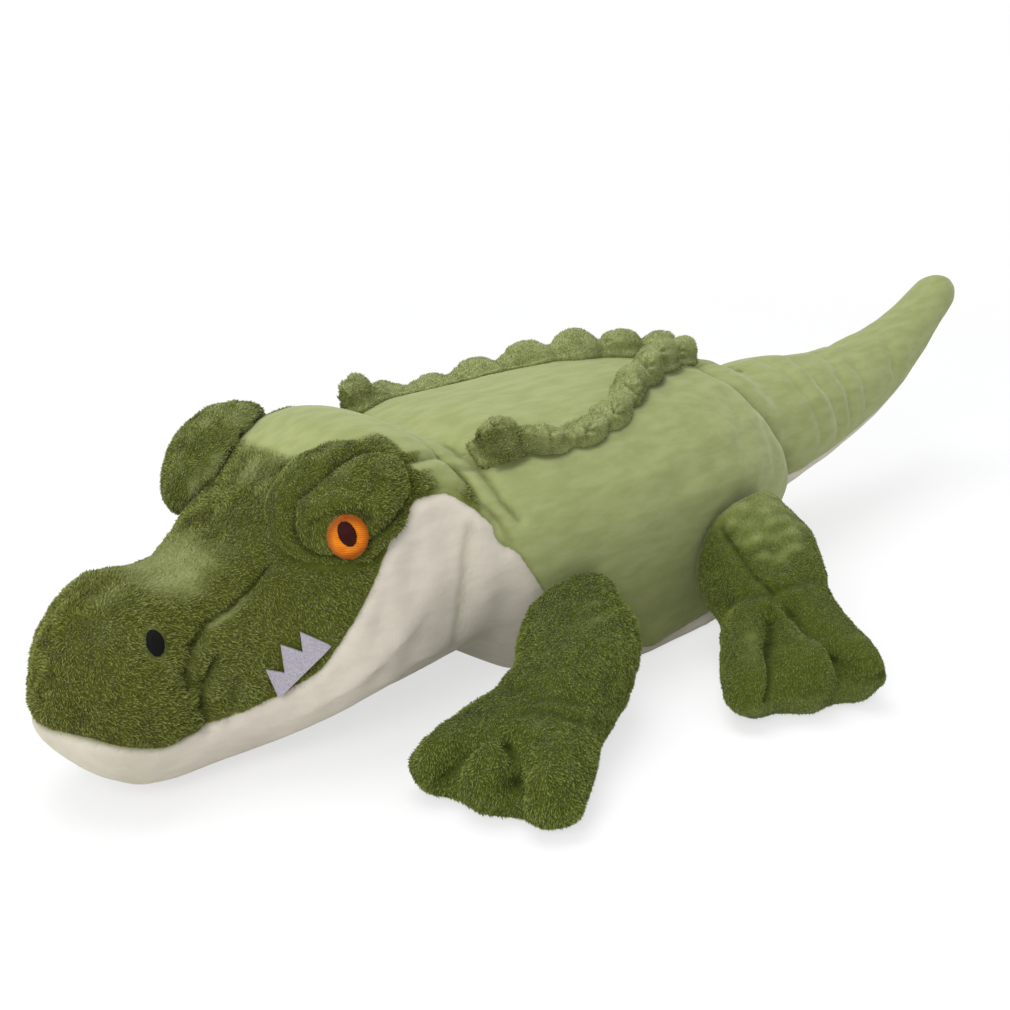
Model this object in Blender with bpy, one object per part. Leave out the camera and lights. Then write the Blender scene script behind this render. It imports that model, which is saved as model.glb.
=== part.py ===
"""Plush crocodile, about 0.55 m from nose to tail tip, as sewn skins over stuffed cores.

Metres, +Z up. The head looks along -Y, the animal's left is +X, and the belly lies on z = 0.
A stuffed form is a grid of points, with rows along it and columns round it. A skin panel is
the part of a form between its seams, one cloth thick, and the stuffing is the form drawn in.
"""
import math

import bmesh
import bpy
import numpy as np
from mathutils import Vector
from mathutils.bvhtree import BVHTree

# Cloth, seams and clearances
CLOTH = 0.0020
SEAM_GAP = 0.0003
RIM_GAP = 0.0004
FILLING_GAP = 0.0006
JOINT_GAP = 0.0009
CUP_GAP = 0.0030
TRIM_GAP = 0.0004
PAD_GAP = 0.0012
EYE_GAP = 0.0006
TOOTH_GAP = 0.0008

# Torso: from the barrel that the head nods on to the ball that the tail swings on
TORSO_HALF_WIDTH = 0.0650
TORSO_HEIGHT = 0.1075
NECK_TO_MIDDLE = 0.0740
NECK_HEIGHT = 0.0595
NECK_RADIUS = 0.0470
NECK_HALF_WIDTH = 0.0600
RUMP_TO_MIDDLE = 0.0760
RUMP_HEIGHT = 0.0515
RUMP_RADIUS = 0.0470

# Head, from the front of the mouth to the edge that covers the neck barrel
HEAD_LENGTH = 0.1530
HEAD_HALF_WIDTH = 0.0560
HEAD_HEIGHT = 0.1165
NOSE_ROUNDING = 0.0300

# Tail
TAIL_LENGTH = 0.2065
TAIL_BASE_RADIUS = 0.0335
TAIL_SIDE_SWEEP = 0.0180
TAIL_TIP_RISE = 0.0410
TAIL_TIP_ROUNDING = 0.0130

# Padded brow mounds, embroidered eyes and nostrils, and cut-felt teeth
BROW_HALF_LENGTH = 0.0255
BROW_HALF_HEIGHT = 0.0215
BROW_THICKNESS = 0.0130
EYE_HALF_WIDTH = 0.0070
EYE_HALF_HEIGHT = 0.0062
EYE_BELOW_BROW = 0.0140
EYE_AHEAD_OF_BROW = 0.0035
EYE_THICKNESS = 0.0012
PUPIL_HALF_WIDTH = 0.0029
PUPIL_HALF_HEIGHT = 0.0038
PUPIL_THICKNESS = 0.0008
NOSTRIL_HALF_WIDTH = 0.0032
NOSTRIL_HALF_HEIGHT = 0.0045
NOSTRIL_THICKNESS = 0.0010
TOOTH_STRIP_LENGTH = 0.0245
TOOTH_HEIGHT = 0.0130
TOOTH_THICKNESS = 0.0009

# Scute ridges: one gathered, stuffed tube on each side of the back
RIDGE_HALF_WIDTH = 0.0064
RIDGE_VALLEY_HEIGHT = 0.0058
RIDGE_BUMP_HEIGHT = 0.0118
RIDGE_BUMPS = 8
RIDGE_START_BEHIND_LIP = 0.0070
RIDGE_END_BEFORE_RUMP = 0.0040

# Legs
SEAT_DEPTH = 0.0030
FORELEG_SEAT_HEIGHT = 0.0330
FORELEG_SEAT_TILT = math.radians(-12)
HINDLEG_SEAT_HEIGHT = 0.0400
HINDLEG_SEAT_TILT = math.radians(-8)
FORELEG_HALF_WIDTH = 0.0245
FORELEG_HALF_THICKNESS = 0.0225
FORE_FOOT_HALF_WIDTH = 0.0340
FORE_FOOT_HEIGHT = 0.0290
FORE_FOOT_OUT = 0.1050
FORE_FOOT_AHEAD = 0.1530
HINDLEG_HALF_WIDTH = 0.0285
HINDLEG_HALF_THICKNESS = 0.0225
HIND_FOOT_HALF_WIDTH = 0.0350
HIND_FOOT_HEIGHT = 0.0290
HIND_FOOT_OUT = 0.1390
HIND_FOOT_AHEAD = 0.0115
TOE_NOTCH = 0.0070

ACROSS = np.array((1.0, 0.0, 0.0))
UP = np.array((0.0, 0.0, 1.0))
OTHER_SIDE = np.array((-1.0, 1.0, 1.0))
FLAT_NORMAL = 0.2
TINY = 1e-9
SEAT_ROOM = 1.9
SEAT_FADE_SHARE = 1.3


def clear_scene():
    for old in list(bpy.data.objects):
        bpy.data.objects.remove(old, do_unlink=True)


def finish(name, colour, roughness, metallic=0.0):
    material = bpy.data.materials.new(name)
    material.use_nodes = True
    shader = material.node_tree.nodes["Principled BSDF"]
    shader.inputs["Base Color"].default_value = (*colour, 1.0)
    shader.inputs["Roughness"].default_value = roughness
    shader.inputs["Metallic"].default_value = metallic
    return material


# Point grids of the stuffed forms

def curve_through(table, at):
    """A smooth curve through a table's rows, whose first column is the place along it."""
    table = np.asarray(table, float)
    place, value = table[:, 0], table[:, 1:]
    slope = np.gradient(value, place, axis=0)
    left = int(np.clip(np.searchsorted(place, at, side="right") - 1, 0, len(place) - 2))
    span = place[left + 1] - place[left]
    t = (at - place[left]) / span
    return ((2 * t**3 - 3 * t**2 + 1) * value[left] + (t**3 - 2 * t**2 + t) * span * slope[left]
            + (3 * t**2 - 2 * t**3) * value[left + 1] + (t**3 - t**2) * span * slope[left + 1])


def rounded_end(distance, rounding):
    """How far a section has opened at a distance from a rounded end."""
    t = min(1.0, max(0.0, 1 - distance / rounding))
    return math.sqrt(1 - t**2)


def power(value, squareness):
    return np.sign(value) * np.abs(value) ** (2 / squareness)


def unit(vector):
    return vector / np.maximum(np.linalg.norm(vector, axis=-1, keepdims=True), TINY)


def columns_between(anchors, counts):
    """Angles round a section: each run between two seams is shared out evenly."""
    angles = []
    for k, count in enumerate(counts):
        angles.extend(anchors[k] + (anchors[k + 1] - anchors[k]) * np.arange(count) / count)
    return np.array(angles)


def section(centre, across, up, half_width, rise, drop, over, under, angles):
    """A closed section; over and under say how square its upper and lower halves are."""
    squareness = np.where(np.sin(angles) > 0, over, under)
    sideways = half_width * power(np.cos(angles), squareness)
    upward = power(np.sin(angles), squareness)
    upward = np.where(upward > 0, rise, drop) * upward
    return centre + sideways[:, None] * across + upward[:, None] * up


def numbered(grid):
    """Numbers the points of a grid, with one number for points that meet."""
    known = {}
    numbers = np.empty(grid.shape[:2], int)
    for row in range(grid.shape[0]):
        for column in range(grid.shape[1]):
            key = tuple(np.round(grid[row, column], 6))
            numbers[row, column] = known.setdefault(key, len(known))
    return numbers


def outward(grid):
    """Normals of a grid, shared where its points meet."""
    ahead = np.empty_like(grid)
    ahead[1:-1] = grid[2:] - grid[:-2]
    ahead[0] = grid[1] - grid[0]
    ahead[-1] = grid[-1] - grid[-2]
    around = np.roll(grid, -1, axis=1) - np.roll(grid, 1, axis=1)
    for row, inner in ((0, 1), (-1, -2)):
        if np.ptp(grid[row], axis=0).max() < SEAM_GAP:
            around[row] = around[inner]
    normal = unit(np.cross(around, ahead))
    shared = np.zeros((grid.shape[0] * grid.shape[1], 3))
    numbers = numbered(grid)
    np.add.at(shared, numbers.ravel(), normal.reshape(-1, 3))
    normal = shared[numbers]
    edge = np.linalg.norm(normal, axis=-1) < FLAT_NORMAL
    normal[edge] = np.where((np.arange(len(grid)) > len(grid) / 2)[:, None, None], ahead, -ahead)[edge]
    normal = unit(normal)
    from_middle = grid - grid.mean(axis=1, keepdims=True)
    return normal if (normal * from_middle).sum() > 0 else -normal


class Form:
    """A stuffed form, with the limits that its neighbours and the floor set it.

    A grid is drawn in along its normals, or made anew by a function of the depth.
    """

    def __init__(self, grid, limits=(), normals=None, remade=None):
        self.grid = grid
        self.normals = outward(grid) if normals is None else normals
        self.limits = list(limits)
        self.remade = remade

    def drawn_in(self, depth):
        points = self.remade(depth) if self.remade else self.grid - depth * self.normals
        for limit in self.limits:
            points = limit(points, depth)
        return points

    def mirrored(self):
        def other(limit):
            return lambda points, depth: limit(points * OTHER_SIDE, depth) * OTHER_SIDE
        remade = None
        if self.remade:
            def remade(depth):
                return (self.remade(depth) * OTHER_SIDE)[:, ::-1]
        return Form((self.grid * OTHER_SIDE)[:, ::-1], [other(limit) for limit in self.limits],
                    (self.normals * OTHER_SIDE)[:, ::-1], remade)


def above_floor(points, depth):
    points = points.copy()
    points[..., 2] = np.maximum(points[..., 2], depth)
    return points


def behind_seat(spot, normal, radius):
    """Presses a form flat behind a seat, and less and less beyond its radius."""
    def limit(points, depth):
        reach = np.linalg.norm(points - spot, axis=-1) / radius
        pressed = np.clip((SEAT_FADE_SHARE - reach) / (SEAT_FADE_SHARE - 1), 0, 1)
        over = np.maximum((points - spot) @ normal + depth, 0) * pressed
        return points - over[..., None] * normal
    return limit


def before_seat(spot, normal):
    """Starts a form on its seat, and keeps its other rows clear of it."""
    def limit(points, depth):
        ahead = (points - spot) @ normal
        wanted = np.maximum(ahead, depth + SEAM_GAP)
        wanted[0] = SEAM_GAP
        return points + (wanted - ahead)[..., None] * normal
    return limit


def outside_ball(centre, radius):
    def limit(points, depth):
        arm = points - centre
        reach = np.linalg.norm(arm, axis=-1, keepdims=True)
        return centre + arm * np.maximum(reach, radius) / reach
    return limit


def barrel_level(arm, half_width, radius):
    """Below one inside a barrel that is turned about the X axis."""
    across = np.abs(arm[..., 0]) / half_width
    reach = np.hypot(arm[..., 1], arm[..., 2]) / radius
    return (across**NECK_SQUARENESS + reach**NECK_SQUARENESS) ** (1 / NECK_SQUARENESS)


def outside_barrel(centre, half_width, radius):
    def limit(points, depth):
        arm = points - centre
        level = barrel_level(arm, half_width, radius)
        return centre + arm / np.minimum(level, 1)[..., None]
    return limit


# Meshes from grids

def add_object(name, vertices, faces, material, pivot=None):
    mesh = bpy.data.meshes.new(name)
    body = bmesh.new()
    origin = pivot.location if pivot else Vector((0, 0, 0))
    corners = [body.verts.new(Vector(vertex) - origin) for vertex in vertices]
    for face in faces:
        loop = list(dict.fromkeys(face))
        if len(loop) > 2:
            body.faces.new([corners[k] for k in loop])
    bmesh.ops.recalc_face_normals(body, faces=body.faces)
    body.to_mesh(mesh)
    body.free()
    mesh.shade_smooth()
    mesh.set_sharp_from_angle(angle=SHARP_ANGLE)
    mesh.materials.append(material)
    piece = bpy.data.objects.new(name, mesh)
    bpy.context.collection.objects.link(piece)
    if pivot:
        piece.parent = pivot
    return piece


def add_pivot(name, place):
    """The empty on a joint's axis that carries the pieces which turn there."""
    pivot = bpy.data.objects.new(name, None)
    pivot.empty_display_size = CLOTH
    pivot.location = place
    bpy.context.collection.objects.link(pivot)
    return pivot


def triangles(rows, columns):
    """The two triangles of each grid cell, cut alike in every layer of a form."""
    for row in range(rows - 1):
        for column in range(columns):
            after = (column + 1) % columns
            yield (row, column), ((row, column), (row, after), (row + 1, after))
            yield (row, column), ((row, column), (row + 1, after), (row + 1, column))


def skin_panel(name, form, keep, material, pivot=None):
    """The kept faces of a form as one cut of cloth, its edges drawn back for the seam."""
    rows, columns = form.grid.shape[:2]
    numbers = numbered(form.grid)
    outer, inner = np.zeros((numbers.max() + 1, 3)), np.zeros((numbers.max() + 1, 3))
    outer[numbers], inner[numbers] = form.drawn_in(0.0), form.drawn_in(CLOTH)
    loops, edges, middles = [], {}, {}
    for (row, column), corners in triangles(rows, columns):
        loop = list(dict.fromkeys(numbers[corner] for corner in corners))
        if not keep(row, column) or len(loop) < 3:
            continue
        loops.append(loop)
        for here, there in zip(loop, loop[1:] + loop[:1]):
            edges.setdefault(frozenset((here, there)), []).append((here, there))
            middles.setdefault(here, []).append(outer[loop].mean(axis=0))
    rim = [uses[0] for uses in edges.values() if len(uses) == 1]
    for vertex in {vertex for edge in rim for vertex in edge}:
        back = unit(np.mean(middles[vertex], axis=0) - outer[vertex]) * RIM_GAP
        outer[vertex] += back
        inner[vertex] += back
    used = sorted(middles)
    order = {vertex: k for k, vertex in enumerate(used)}
    under = len(used)
    faces = [[order[vertex] for vertex in loop] for loop in loops]
    faces += [[order[vertex] + under for vertex in reversed(loop)] for loop in loops]
    faces += [[order[there], order[here], order[here] + under, order[there] + under] for here, there in rim]
    return add_object(name, [*outer[used], *inner[used]], faces, material, pivot)


def stuffing(name, form, material, pivot=None, cup=(), rows=None):
    """The filling of a form, a cloth and a gap inside its skin; a cup is hollowed into its end."""
    grid = form.drawn_in(CLOTH + FILLING_GAP)[:rows]
    numbers = numbered(form.grid[:rows])
    if len(cup):
        grid = np.concatenate([grid, cup])
        further = np.arange(numbers.max() + 1, numbers.max() + 1 + cup[:-1].shape[0] * cup.shape[1])
        apex = np.full((1, cup.shape[1]), further[-1] + 1)
        numbers = np.concatenate([numbers, further.reshape(-1, cup.shape[1]), apex])
    vertices = np.zeros((numbers.max() + 1, 3))
    vertices[numbers] = grid
    faces = [[numbers[corner] for corner in corners] for _, corners in triangles(*grid.shape[:2])]
    faces += [list(end) for end in (numbers[0], numbers[-1]) if len(set(end)) == len(end)]
    return add_object(name, vertices, faces, material, pivot)


def cup_rings(last_ring, apex, limit):
    """Rings that run from a form's open edge to the middle of the cup it turns in."""
    rings = [apex + (last_ring - apex) * share for share in CUP_SHARES]
    return limit(np.array(rings), 0.0)


def tree_of(form):
    rows, columns = form.grid.shape[:2]
    points = form.drawn_in(0.0).reshape(-1, 3)
    faces = [[row * columns + column for row, column in corners] for _, corners in triangles(rows, columns)]
    return BVHTree.FromPolygons([Vector(point) for point in points], faces)


def nearest(tree, point):
    """The nearest point of a surface, and the normal there on the side away from its middle."""
    place, normal = (np.array(found) for found in tree.find_nearest(Vector(point))[:2])
    away = place - np.array((0, place[1], NECK_HEIGHT))
    return place, normal if normal @ away > 0 else -normal


def tree_of_pieces(*pieces):
    points, faces = [], []
    for piece in pieces:
        origin = piece.parent.location if piece.parent else Vector((0, 0, 0))
        start = len(points)
        points += [vertex.co + origin for vertex in piece.data.vertices]
        faces += [[start + k for k in face.vertices] for face in piece.data.polygons]
    return BVHTree.FromPolygons(points, faces)


class Patch:
    """A flat drawing board held over a spot of a surface, whose points drop onto it."""

    def __init__(self, tree, spot, normal, along, gap=TRIM_GAP):
        self.tree = tree
        self.gap = gap
        self.normal = unit(normal)
        self.along = unit(along - (along @ self.normal) * self.normal)
        upward = np.cross(self.normal, self.along)
        self.upward = upward if upward @ UP > 0 else -upward
        self.spot = spot

    def drop(self, sideways, upward, lift):
        """The point over the surface, at a height above where the board's point falls."""
        board = self.spot + sideways * self.along + upward * self.upward + BOARD_HEIGHT * self.normal
        hit, normal = self.tree.ray_cast(Vector(board), Vector(-self.normal))[:2]
        away = np.array(normal) if normal.dot(Vector(self.normal)) > 0 else -np.array(normal)
        return np.array(hit) + self.gap * away + lift * self.normal


def dome(name, patch, half_length, half_height, thickness, ring_shares, columns, fullness, material,
         pivot, centre=(0.0, 0.0)):
    """A pad with an oval outline, whose back lies on the surface and whose front is domed."""
    top, bottom = [], []
    for share in ring_shares:
        for column in range(columns):
            turn = 2 * math.pi * column / columns
            sideways = centre[0] + half_length * share * math.cos(turn)
            upward = centre[1] + half_height * share * math.sin(turn)
            bottom.append(patch.drop(sideways, upward, (1 - share**2) * thickness * HOLLOW_SHARE))
            crown = thickness * (EDGE_SHARE + (1 - EDGE_SHARE) * (1 - share**2) ** fullness)
            top.append(patch.drop(sideways, upward, crown))
    rings = len(ring_shares)
    count = len(top)
    vertices = top + bottom
    vertices += [patch.drop(*centre, thickness), patch.drop(*centre, thickness * HOLLOW_SHARE)]
    faces = []
    for level, turn_over in ((0, False), (count, True)):
        for ring in range(rings - 1):
            for column in range(columns):
                after = (column + 1) % columns
                loop = [level + ring * columns + column, level + ring * columns + after,
                        level + (ring + 1) * columns + after, level + (ring + 1) * columns + column]
                faces.append(loop[::-1] if turn_over else loop)
        inner = level + (rings - 1) * columns
        middle = 2 * count + (1 if turn_over else 0)
        faces += [[inner + column, inner + (column + 1) % columns, middle] for column in range(columns)]
    faces += [[column, (column + 1) % columns, count + (column + 1) % columns, count + column]
              for column in range(columns)]
    return add_object(name, vertices, faces, material, pivot)


# Torso

NECK_CENTRE = np.array((0.0, -NECK_TO_MIDDLE, NECK_HEIGHT))
RUMP_CENTRE = np.array((0.0, RUMP_TO_MIDDLE, RUMP_HEIGHT))
TORSO_SPAN = NECK_TO_MIDDLE + RUMP_TO_MIDDLE
NECK_SQUARENESS = 2.6
TORSO_OVER_SQUARENESS = 2.4
TORSO_UNDER_SQUARENESS = 6.5
LEAVE_ANGLE = math.radians(72)
LEAVE_STEP = math.radians(8)
NECK_ANGLES = np.radians((0, 18, 35, 49, 61))
RUMP_ANGLES = np.radians((56, 39, 21, 0))
ROWS_BETWEEN_BALLS = 8
ENDS_BLEND_SHARE = 0.4
# Shares along the torso: half width, top and, pressed flat by the floor, bottom
TORSO_SHARES = ((0.20, 0.980, 1.000, -0.080), (0.36, 1.000, 1.000, -0.120), (0.52, 1.000, 1.000, -0.090),
                (0.82, 0.930, 0.965, -0.040))
BELLY_COLUMNS, FLANK_COLUMNS, STRIP_COLUMNS = 5, 5, 4
FLANK_START = BELLY_COLUMNS
STRIP_START = FLANK_START + FLANK_COLUMNS
FAR_FLANK_START = STRIP_START + STRIP_COLUMNS
SKIN_FIRST_ROW = 2
SKIN_ROWS_OFF_RUMP = 1
# Shares of the torso's length, with the belly seam and the ridge seam in degrees up from the side
TORSO_SEAM_SHARES = ((0.00, 25, 56), (0.09, 14, 54), (0.165, -2, 52), (0.24, -14, 50), (0.33, -22, 50),
                     (0.43, -26, 58), (0.54, -28, 70), (0.64, -28, 78), (0.75, -28, 83), (0.90, -32, 85),
                     (1.00, -36, 86))
# Sharp edges, drawing boards and pads
SHARP_ANGLE = math.radians(50)
BOARD_HEIGHT = HEAD_HEIGHT
EDGE_SHARE = 0.25
HOLLOW_SHARE = 0.15
CUP_SHARES = (0.74, 0.44, 0.0)


def opening(angle):
    """How wide the neck barrel has opened at an angle from its front."""
    return (1 - math.cos(angle) ** NECK_SQUARENESS) ** (1 / NECK_SQUARENESS)


def torso_table():
    """Half width, top and bottom, from leaving the neck barrel to joining the rump ball."""
    table = []
    for angle in (LEAVE_ANGLE - LEAVE_STEP, LEAVE_ANGLE):
        high = NECK_RADIUS * math.sin(angle)
        table.append((-NECK_RADIUS * math.cos(angle) / TORSO_SPAN, NECK_HALF_WIDTH * opening(angle),
                      NECK_HEIGHT + high, NECK_HEIGHT - high))
    for place, wide, top, bottom in TORSO_SHARES:
        table.append((place, wide * TORSO_HALF_WIDTH, top * TORSO_HEIGHT, bottom * TORSO_HEIGHT))
    for angle in (LEAVE_ANGLE, LEAVE_ANGLE - LEAVE_STEP):
        size = RUMP_RADIUS * math.sin(angle)
        place = 1 + RUMP_RADIUS * math.cos(angle) / TORSO_SPAN
        table.append((place, size, RUMP_HEIGHT + size, RUMP_HEIGHT - size))
    return table


TORSO_TABLE = torso_table()


def torso_section(place, angles):
    """A section between the barrel and the ball; place is 0 at one's middle and 1 at the other's."""
    first, last = TORSO_TABLE[1][0], TORSO_TABLE[-2][0]
    share = (place - first) / (last - first)
    near_neck = max(0, 1 - share / ENDS_BLEND_SHARE)
    near_rump = max(0, 1 - (1 - share) / ENDS_BLEND_SHARE)
    over = TORSO_OVER_SQUARENESS + (NECK_SQUARENESS - TORSO_OVER_SQUARENESS) * near_neck
    under = TORSO_UNDER_SQUARENESS + (NECK_SQUARENESS - TORSO_UNDER_SQUARENESS) * near_neck
    over += (2 - over) * near_rump
    under += (2 - under) * near_rump
    wide, top, bottom = curve_through(TORSO_TABLE, place)
    middle = NECK_HEIGHT + (RUMP_HEIGHT - NECK_HEIGHT) * min(1, max(0, share))
    centre = np.array((0, NECK_CENTRE[1] + place * TORSO_SPAN, middle))
    return section(centre, ACROSS, UP, wide, top - middle, middle - bottom, over, under, angles)


def seat_on_torso(place, height):
    """The point of the left flank at a height."""
    low, high = -math.pi / 2, math.pi / 2
    for _ in range(40):
        angle = (low + high) / 2
        found = torso_section(place, np.array([angle]))[0]
        low, high = (angle, high) if found[2] < height else (low, angle)
    return found


def neck_section(angle, angles):
    """A section of the neck barrel, square to the torso."""
    ahead = NECK_RADIUS * math.cos(angle)
    ring = section(np.array((0, -ahead, 0)), ACROSS, UP, NECK_HALF_WIDTH * opening(angle),
                   NECK_RADIUS * math.sin(angle), NECK_RADIUS * math.sin(angle), NECK_SQUARENESS,
                   NECK_SQUARENESS, angles)
    for _ in range(12):
        ring[:, 0::2] /= barrel_level(ring, NECK_HALF_WIDTH, NECK_RADIUS)[:, None]
    return NECK_CENTRE + ring


def torso_angles(y):
    """Where the columns of the torso lie at a place along it."""
    start, stop = NECK_CENTRE[1] - NECK_RADIUS, RUMP_CENTRE[1] + RUMP_RADIUS
    belly, ridge = np.radians(curve_through(TORSO_SEAM_SHARES, (y - start) / (stop - start)))
    anchors = (-math.pi - belly, belly, ridge, math.pi - ridge, math.pi - belly)
    return columns_between(anchors, (BELLY_COLUMNS, FLANK_COLUMNS, STRIP_COLUMNS, FLANK_COLUMNS))


def torso_grid():
    first, last = TORSO_TABLE[1][0], TORSO_TABLE[-2][0]
    grid = []
    for angle in NECK_ANGLES:
        grid.append(neck_section(angle, torso_angles(NECK_CENTRE[1] - NECK_RADIUS * math.cos(angle))))
    for place in np.linspace(first, last, ROWS_BETWEEN_BALLS + 2):
        grid.append(torso_section(place, torso_angles(NECK_CENTRE[1] + place * TORSO_SPAN)))
    for angle in RUMP_ANGLES:
        centre = RUMP_CENTRE + np.array((0, RUMP_RADIUS * math.cos(angle), 0))
        size = RUMP_RADIUS * math.sin(angle)
        grid.append(section(centre, ACROSS, UP, size, size, size, 2, 2, torso_angles(centre[1])))
    return np.array(grid)


def add_torso(seats, sage, cream, filling):
    limits = [above_floor]
    for spot, normal, radius in seats:
        limits += [behind_seat(spot, normal, radius),
                   behind_seat(spot * OTHER_SIDE, normal * OTHER_SIDE, radius)]
    torso = Form(torso_grid(), limits)
    last_row = torso.grid.shape[0] - 1 - SKIN_ROWS_OFF_RUMP

    def between(first, count):
        return lambda row, column: first <= column < first + count and SKIN_FIRST_ROW <= row < last_row
    skin_panel("belly_panel", torso, between(0, BELLY_COLUMNS), cream)
    skin_panel("flank_left_panel", torso, between(FLANK_START, FLANK_COLUMNS), sage)
    skin_panel("back_panel", torso, between(STRIP_START, STRIP_COLUMNS), sage)
    skin_panel("flank_right_panel", torso, between(FAR_FLANK_START, FLANK_COLUMNS), sage)
    stuffing("torso_stuffing", torso, filling)
    return torso


# Scute ridges

RIDGE_ROWS_A_BUMP = 4
RIDGE_TOP_ANGLES = np.radians((0, 36, 72, 108, 144, 180))
RIDGE_NARROWING_SHARE = 0.35
RIDGE_FULLNESS = 0.7
RIDGE_CREST_SHARES = (1.30, 0.82, 0.80, 0.90, 1.02, 1.06, 0.98, 0.88)


def add_ridge(name, torso, side, material):
    """A tube along the ridge seam, gathered into bumps, the first one tall and leaf-shaped."""
    tree = tree_of(torso)
    start = NECK_CENTRE[1] - NECK_RADIUS * math.cos(HEAD_LIP_ANGLE) + RIDGE_START_BEHIND_LIP
    stop = RUMP_CENTRE[1] - RIDGE_END_BEFORE_RUMP
    rows = RIDGE_BUMPS * RIDGE_ROWS_A_BUMP
    spots = []
    for row in range(rows + 1):
        y = start + (stop - start) * row / rows
        angle = torso_angles(y)[STRIP_START if side > 0 else FAR_FLANK_START]
        place = (y - NECK_CENTRE[1]) / TORSO_SPAN
        spots.append(torso_section(place, np.array([angle]))[0])
    spots = np.array(spots)
    ahead = unit(np.gradient(spots, axis=0))
    vertices, faces = [], []
    columns = len(RIDGE_TOP_ANGLES) + 1
    for row in range(1, rows):
        spot, normal = nearest(tree, spots[row])
        across = unit(np.cross(ahead[row], normal))
        bump, part = divmod(row, RIDGE_ROWS_A_BUMP)
        swell = math.sin(math.pi * part / RIDGE_ROWS_A_BUMP) ** RIDGE_FULLNESS
        crest = RIDGE_BUMP_HEIGHT * RIDGE_CREST_SHARES[bump]
        high = RIDGE_VALLEY_HEIGHT + (crest - RIDGE_VALLEY_HEIGHT) * swell
        wide = RIDGE_HALF_WIDTH * (1 - RIDGE_NARROWING_SHARE * (1 - swell))
        for angle in RIDGE_TOP_ANGLES:
            foot = spot + across * wide * math.cos(angle)
            seated, up = nearest(tree, foot)
            vertices.append(seated + up * TRIM_GAP + normal * high * math.sin(angle))
        vertices.append(spot + normal * TRIM_GAP)
    for row in range(rows - 2):
        for column in range(columns):
            after = (column + 1) % columns
            faces.append([row * columns + column, row * columns + after,
                          (row + 1) * columns + after, (row + 1) * columns + column])
    faces.append(list(range(columns)))
    faces.append(list(range(len(vertices) - columns, len(vertices))))
    return add_object(name, vertices, faces, material)


# Head

HEAD_LIP_ANGLE = math.radians(60)
HEAD_FRONT_SQUARENESS = 2.1
HEAD_BACK_SQUARENESS = 2.6
HEAD_UNDER_SQUARENESS = 2.3
# Shares of the head's length, half width and height: half width, top, bottom and middle
HEAD_SHARES = ((0.00, 0.50, 0.66, 0.145, 0.28), (0.10, 0.54, 0.67, 0.065, 0.28),
               (0.18, 0.565, 0.67, 0.030, 0.28), (0.30, 0.55, 0.65, 0.000, 0.30),
               (0.42, 0.62, 0.68, -0.004, 0.31),
               (0.54, 0.80, 0.82, 0.025, 0.34), (0.66, 0.95, 0.96, 0.055, 0.39),
               (0.78, 1.00, 0.99, 0.085, 0.44), (0.90, 1.00, 0.96, 0.120, 0.48))
HEAD_PLACES = (0.0, 0.012, 0.045, 0.10, 0.18, 0.27, 0.36, 0.45, 0.54, 0.63, 0.72, 0.81, 0.90, 0.965, 1.0)
# Shares of the head's length and height: the mouth seam
MOUTH_SHARES = ((0.00, 0.31), (0.11, 0.235), (0.29, 0.22), (0.44, 0.265), (0.53, 0.33), (0.60, 0.45),
                (0.66, 0.60), (0.75, 0.75), (0.86, 0.815), (0.92, 0.78), (1.00, 0.68))
JAW_COLUMNS, CROWN_COLUMNS = 8, 12
MOUTH_LIMIT = 0.95
SMALL_STEP = 0.01


def head_table():
    cover = CLOTH + JOINT_GAP
    wide = NECK_HALF_WIDTH * opening(HEAD_LIP_ANGLE) + cover
    high = NECK_RADIUS * math.sin(HEAD_LIP_ANGLE) + cover
    table = [(place, across * HEAD_HALF_WIDTH, top * HEAD_HEIGHT, bottom * HEAD_HEIGHT, middle * HEAD_HEIGHT)
             for place, across, top, bottom, middle in HEAD_SHARES]
    return table + [(1.0, wide, NECK_CENTRE[2] + high, NECK_CENTRE[2] - high, NECK_CENTRE[2])]


def head_section(place, angles=None):
    """A section of the head; without angles it has the columns of the jaw and the crown."""
    wide, top, bottom, middle = curve_through(head_table(), place)
    opened = rounded_end(place * HEAD_LENGTH, NOSE_ROUNDING)
    over = HEAD_FRONT_SQUARENESS + (HEAD_BACK_SQUARENESS - HEAD_FRONT_SQUARENESS) * place
    if angles is None:
        seam = curve_through(MOUTH_SHARES, place)[0] * HEAD_HEIGHT - middle
        level = seam / (top - middle if seam > 0 else middle - bottom)
        square = over if seam > 0 else HEAD_UNDER_SQUARENESS
        mouth = math.asin(np.clip(np.sign(level) * abs(level) ** (square / 2), -MOUTH_LIMIT, MOUTH_LIMIT))
        angles = columns_between((-math.pi - mouth, mouth, math.pi - mouth), (JAW_COLUMNS, CROWN_COLUMNS))
    lip_y = NECK_CENTRE[1] - NECK_RADIUS * math.cos(HEAD_LIP_ANGLE)
    centre = np.array((0, lip_y - (1 - place) * HEAD_LENGTH, middle))
    return section(centre, ACROSS, UP, wide * opened, (top - middle) * opened, (middle - bottom) * opened,
                   over, HEAD_UNDER_SQUARENESS, angles)


def on_head(place, degrees):
    """A point of the head and its outward normal, at an angle up from the left side."""
    angle = math.radians(degrees)
    here = head_section(place, np.array([angle, angle + SMALL_STEP]))
    ahead = head_section(place + SMALL_STEP, np.array([angle]))
    normal = unit(np.cross(ahead[0] - here[0], here[1] - here[0]))
    return here[0], normal if normal @ (here[0] - np.array((0, here[0][1], NECK_CENTRE[2]))) > 0 else -normal


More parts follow.
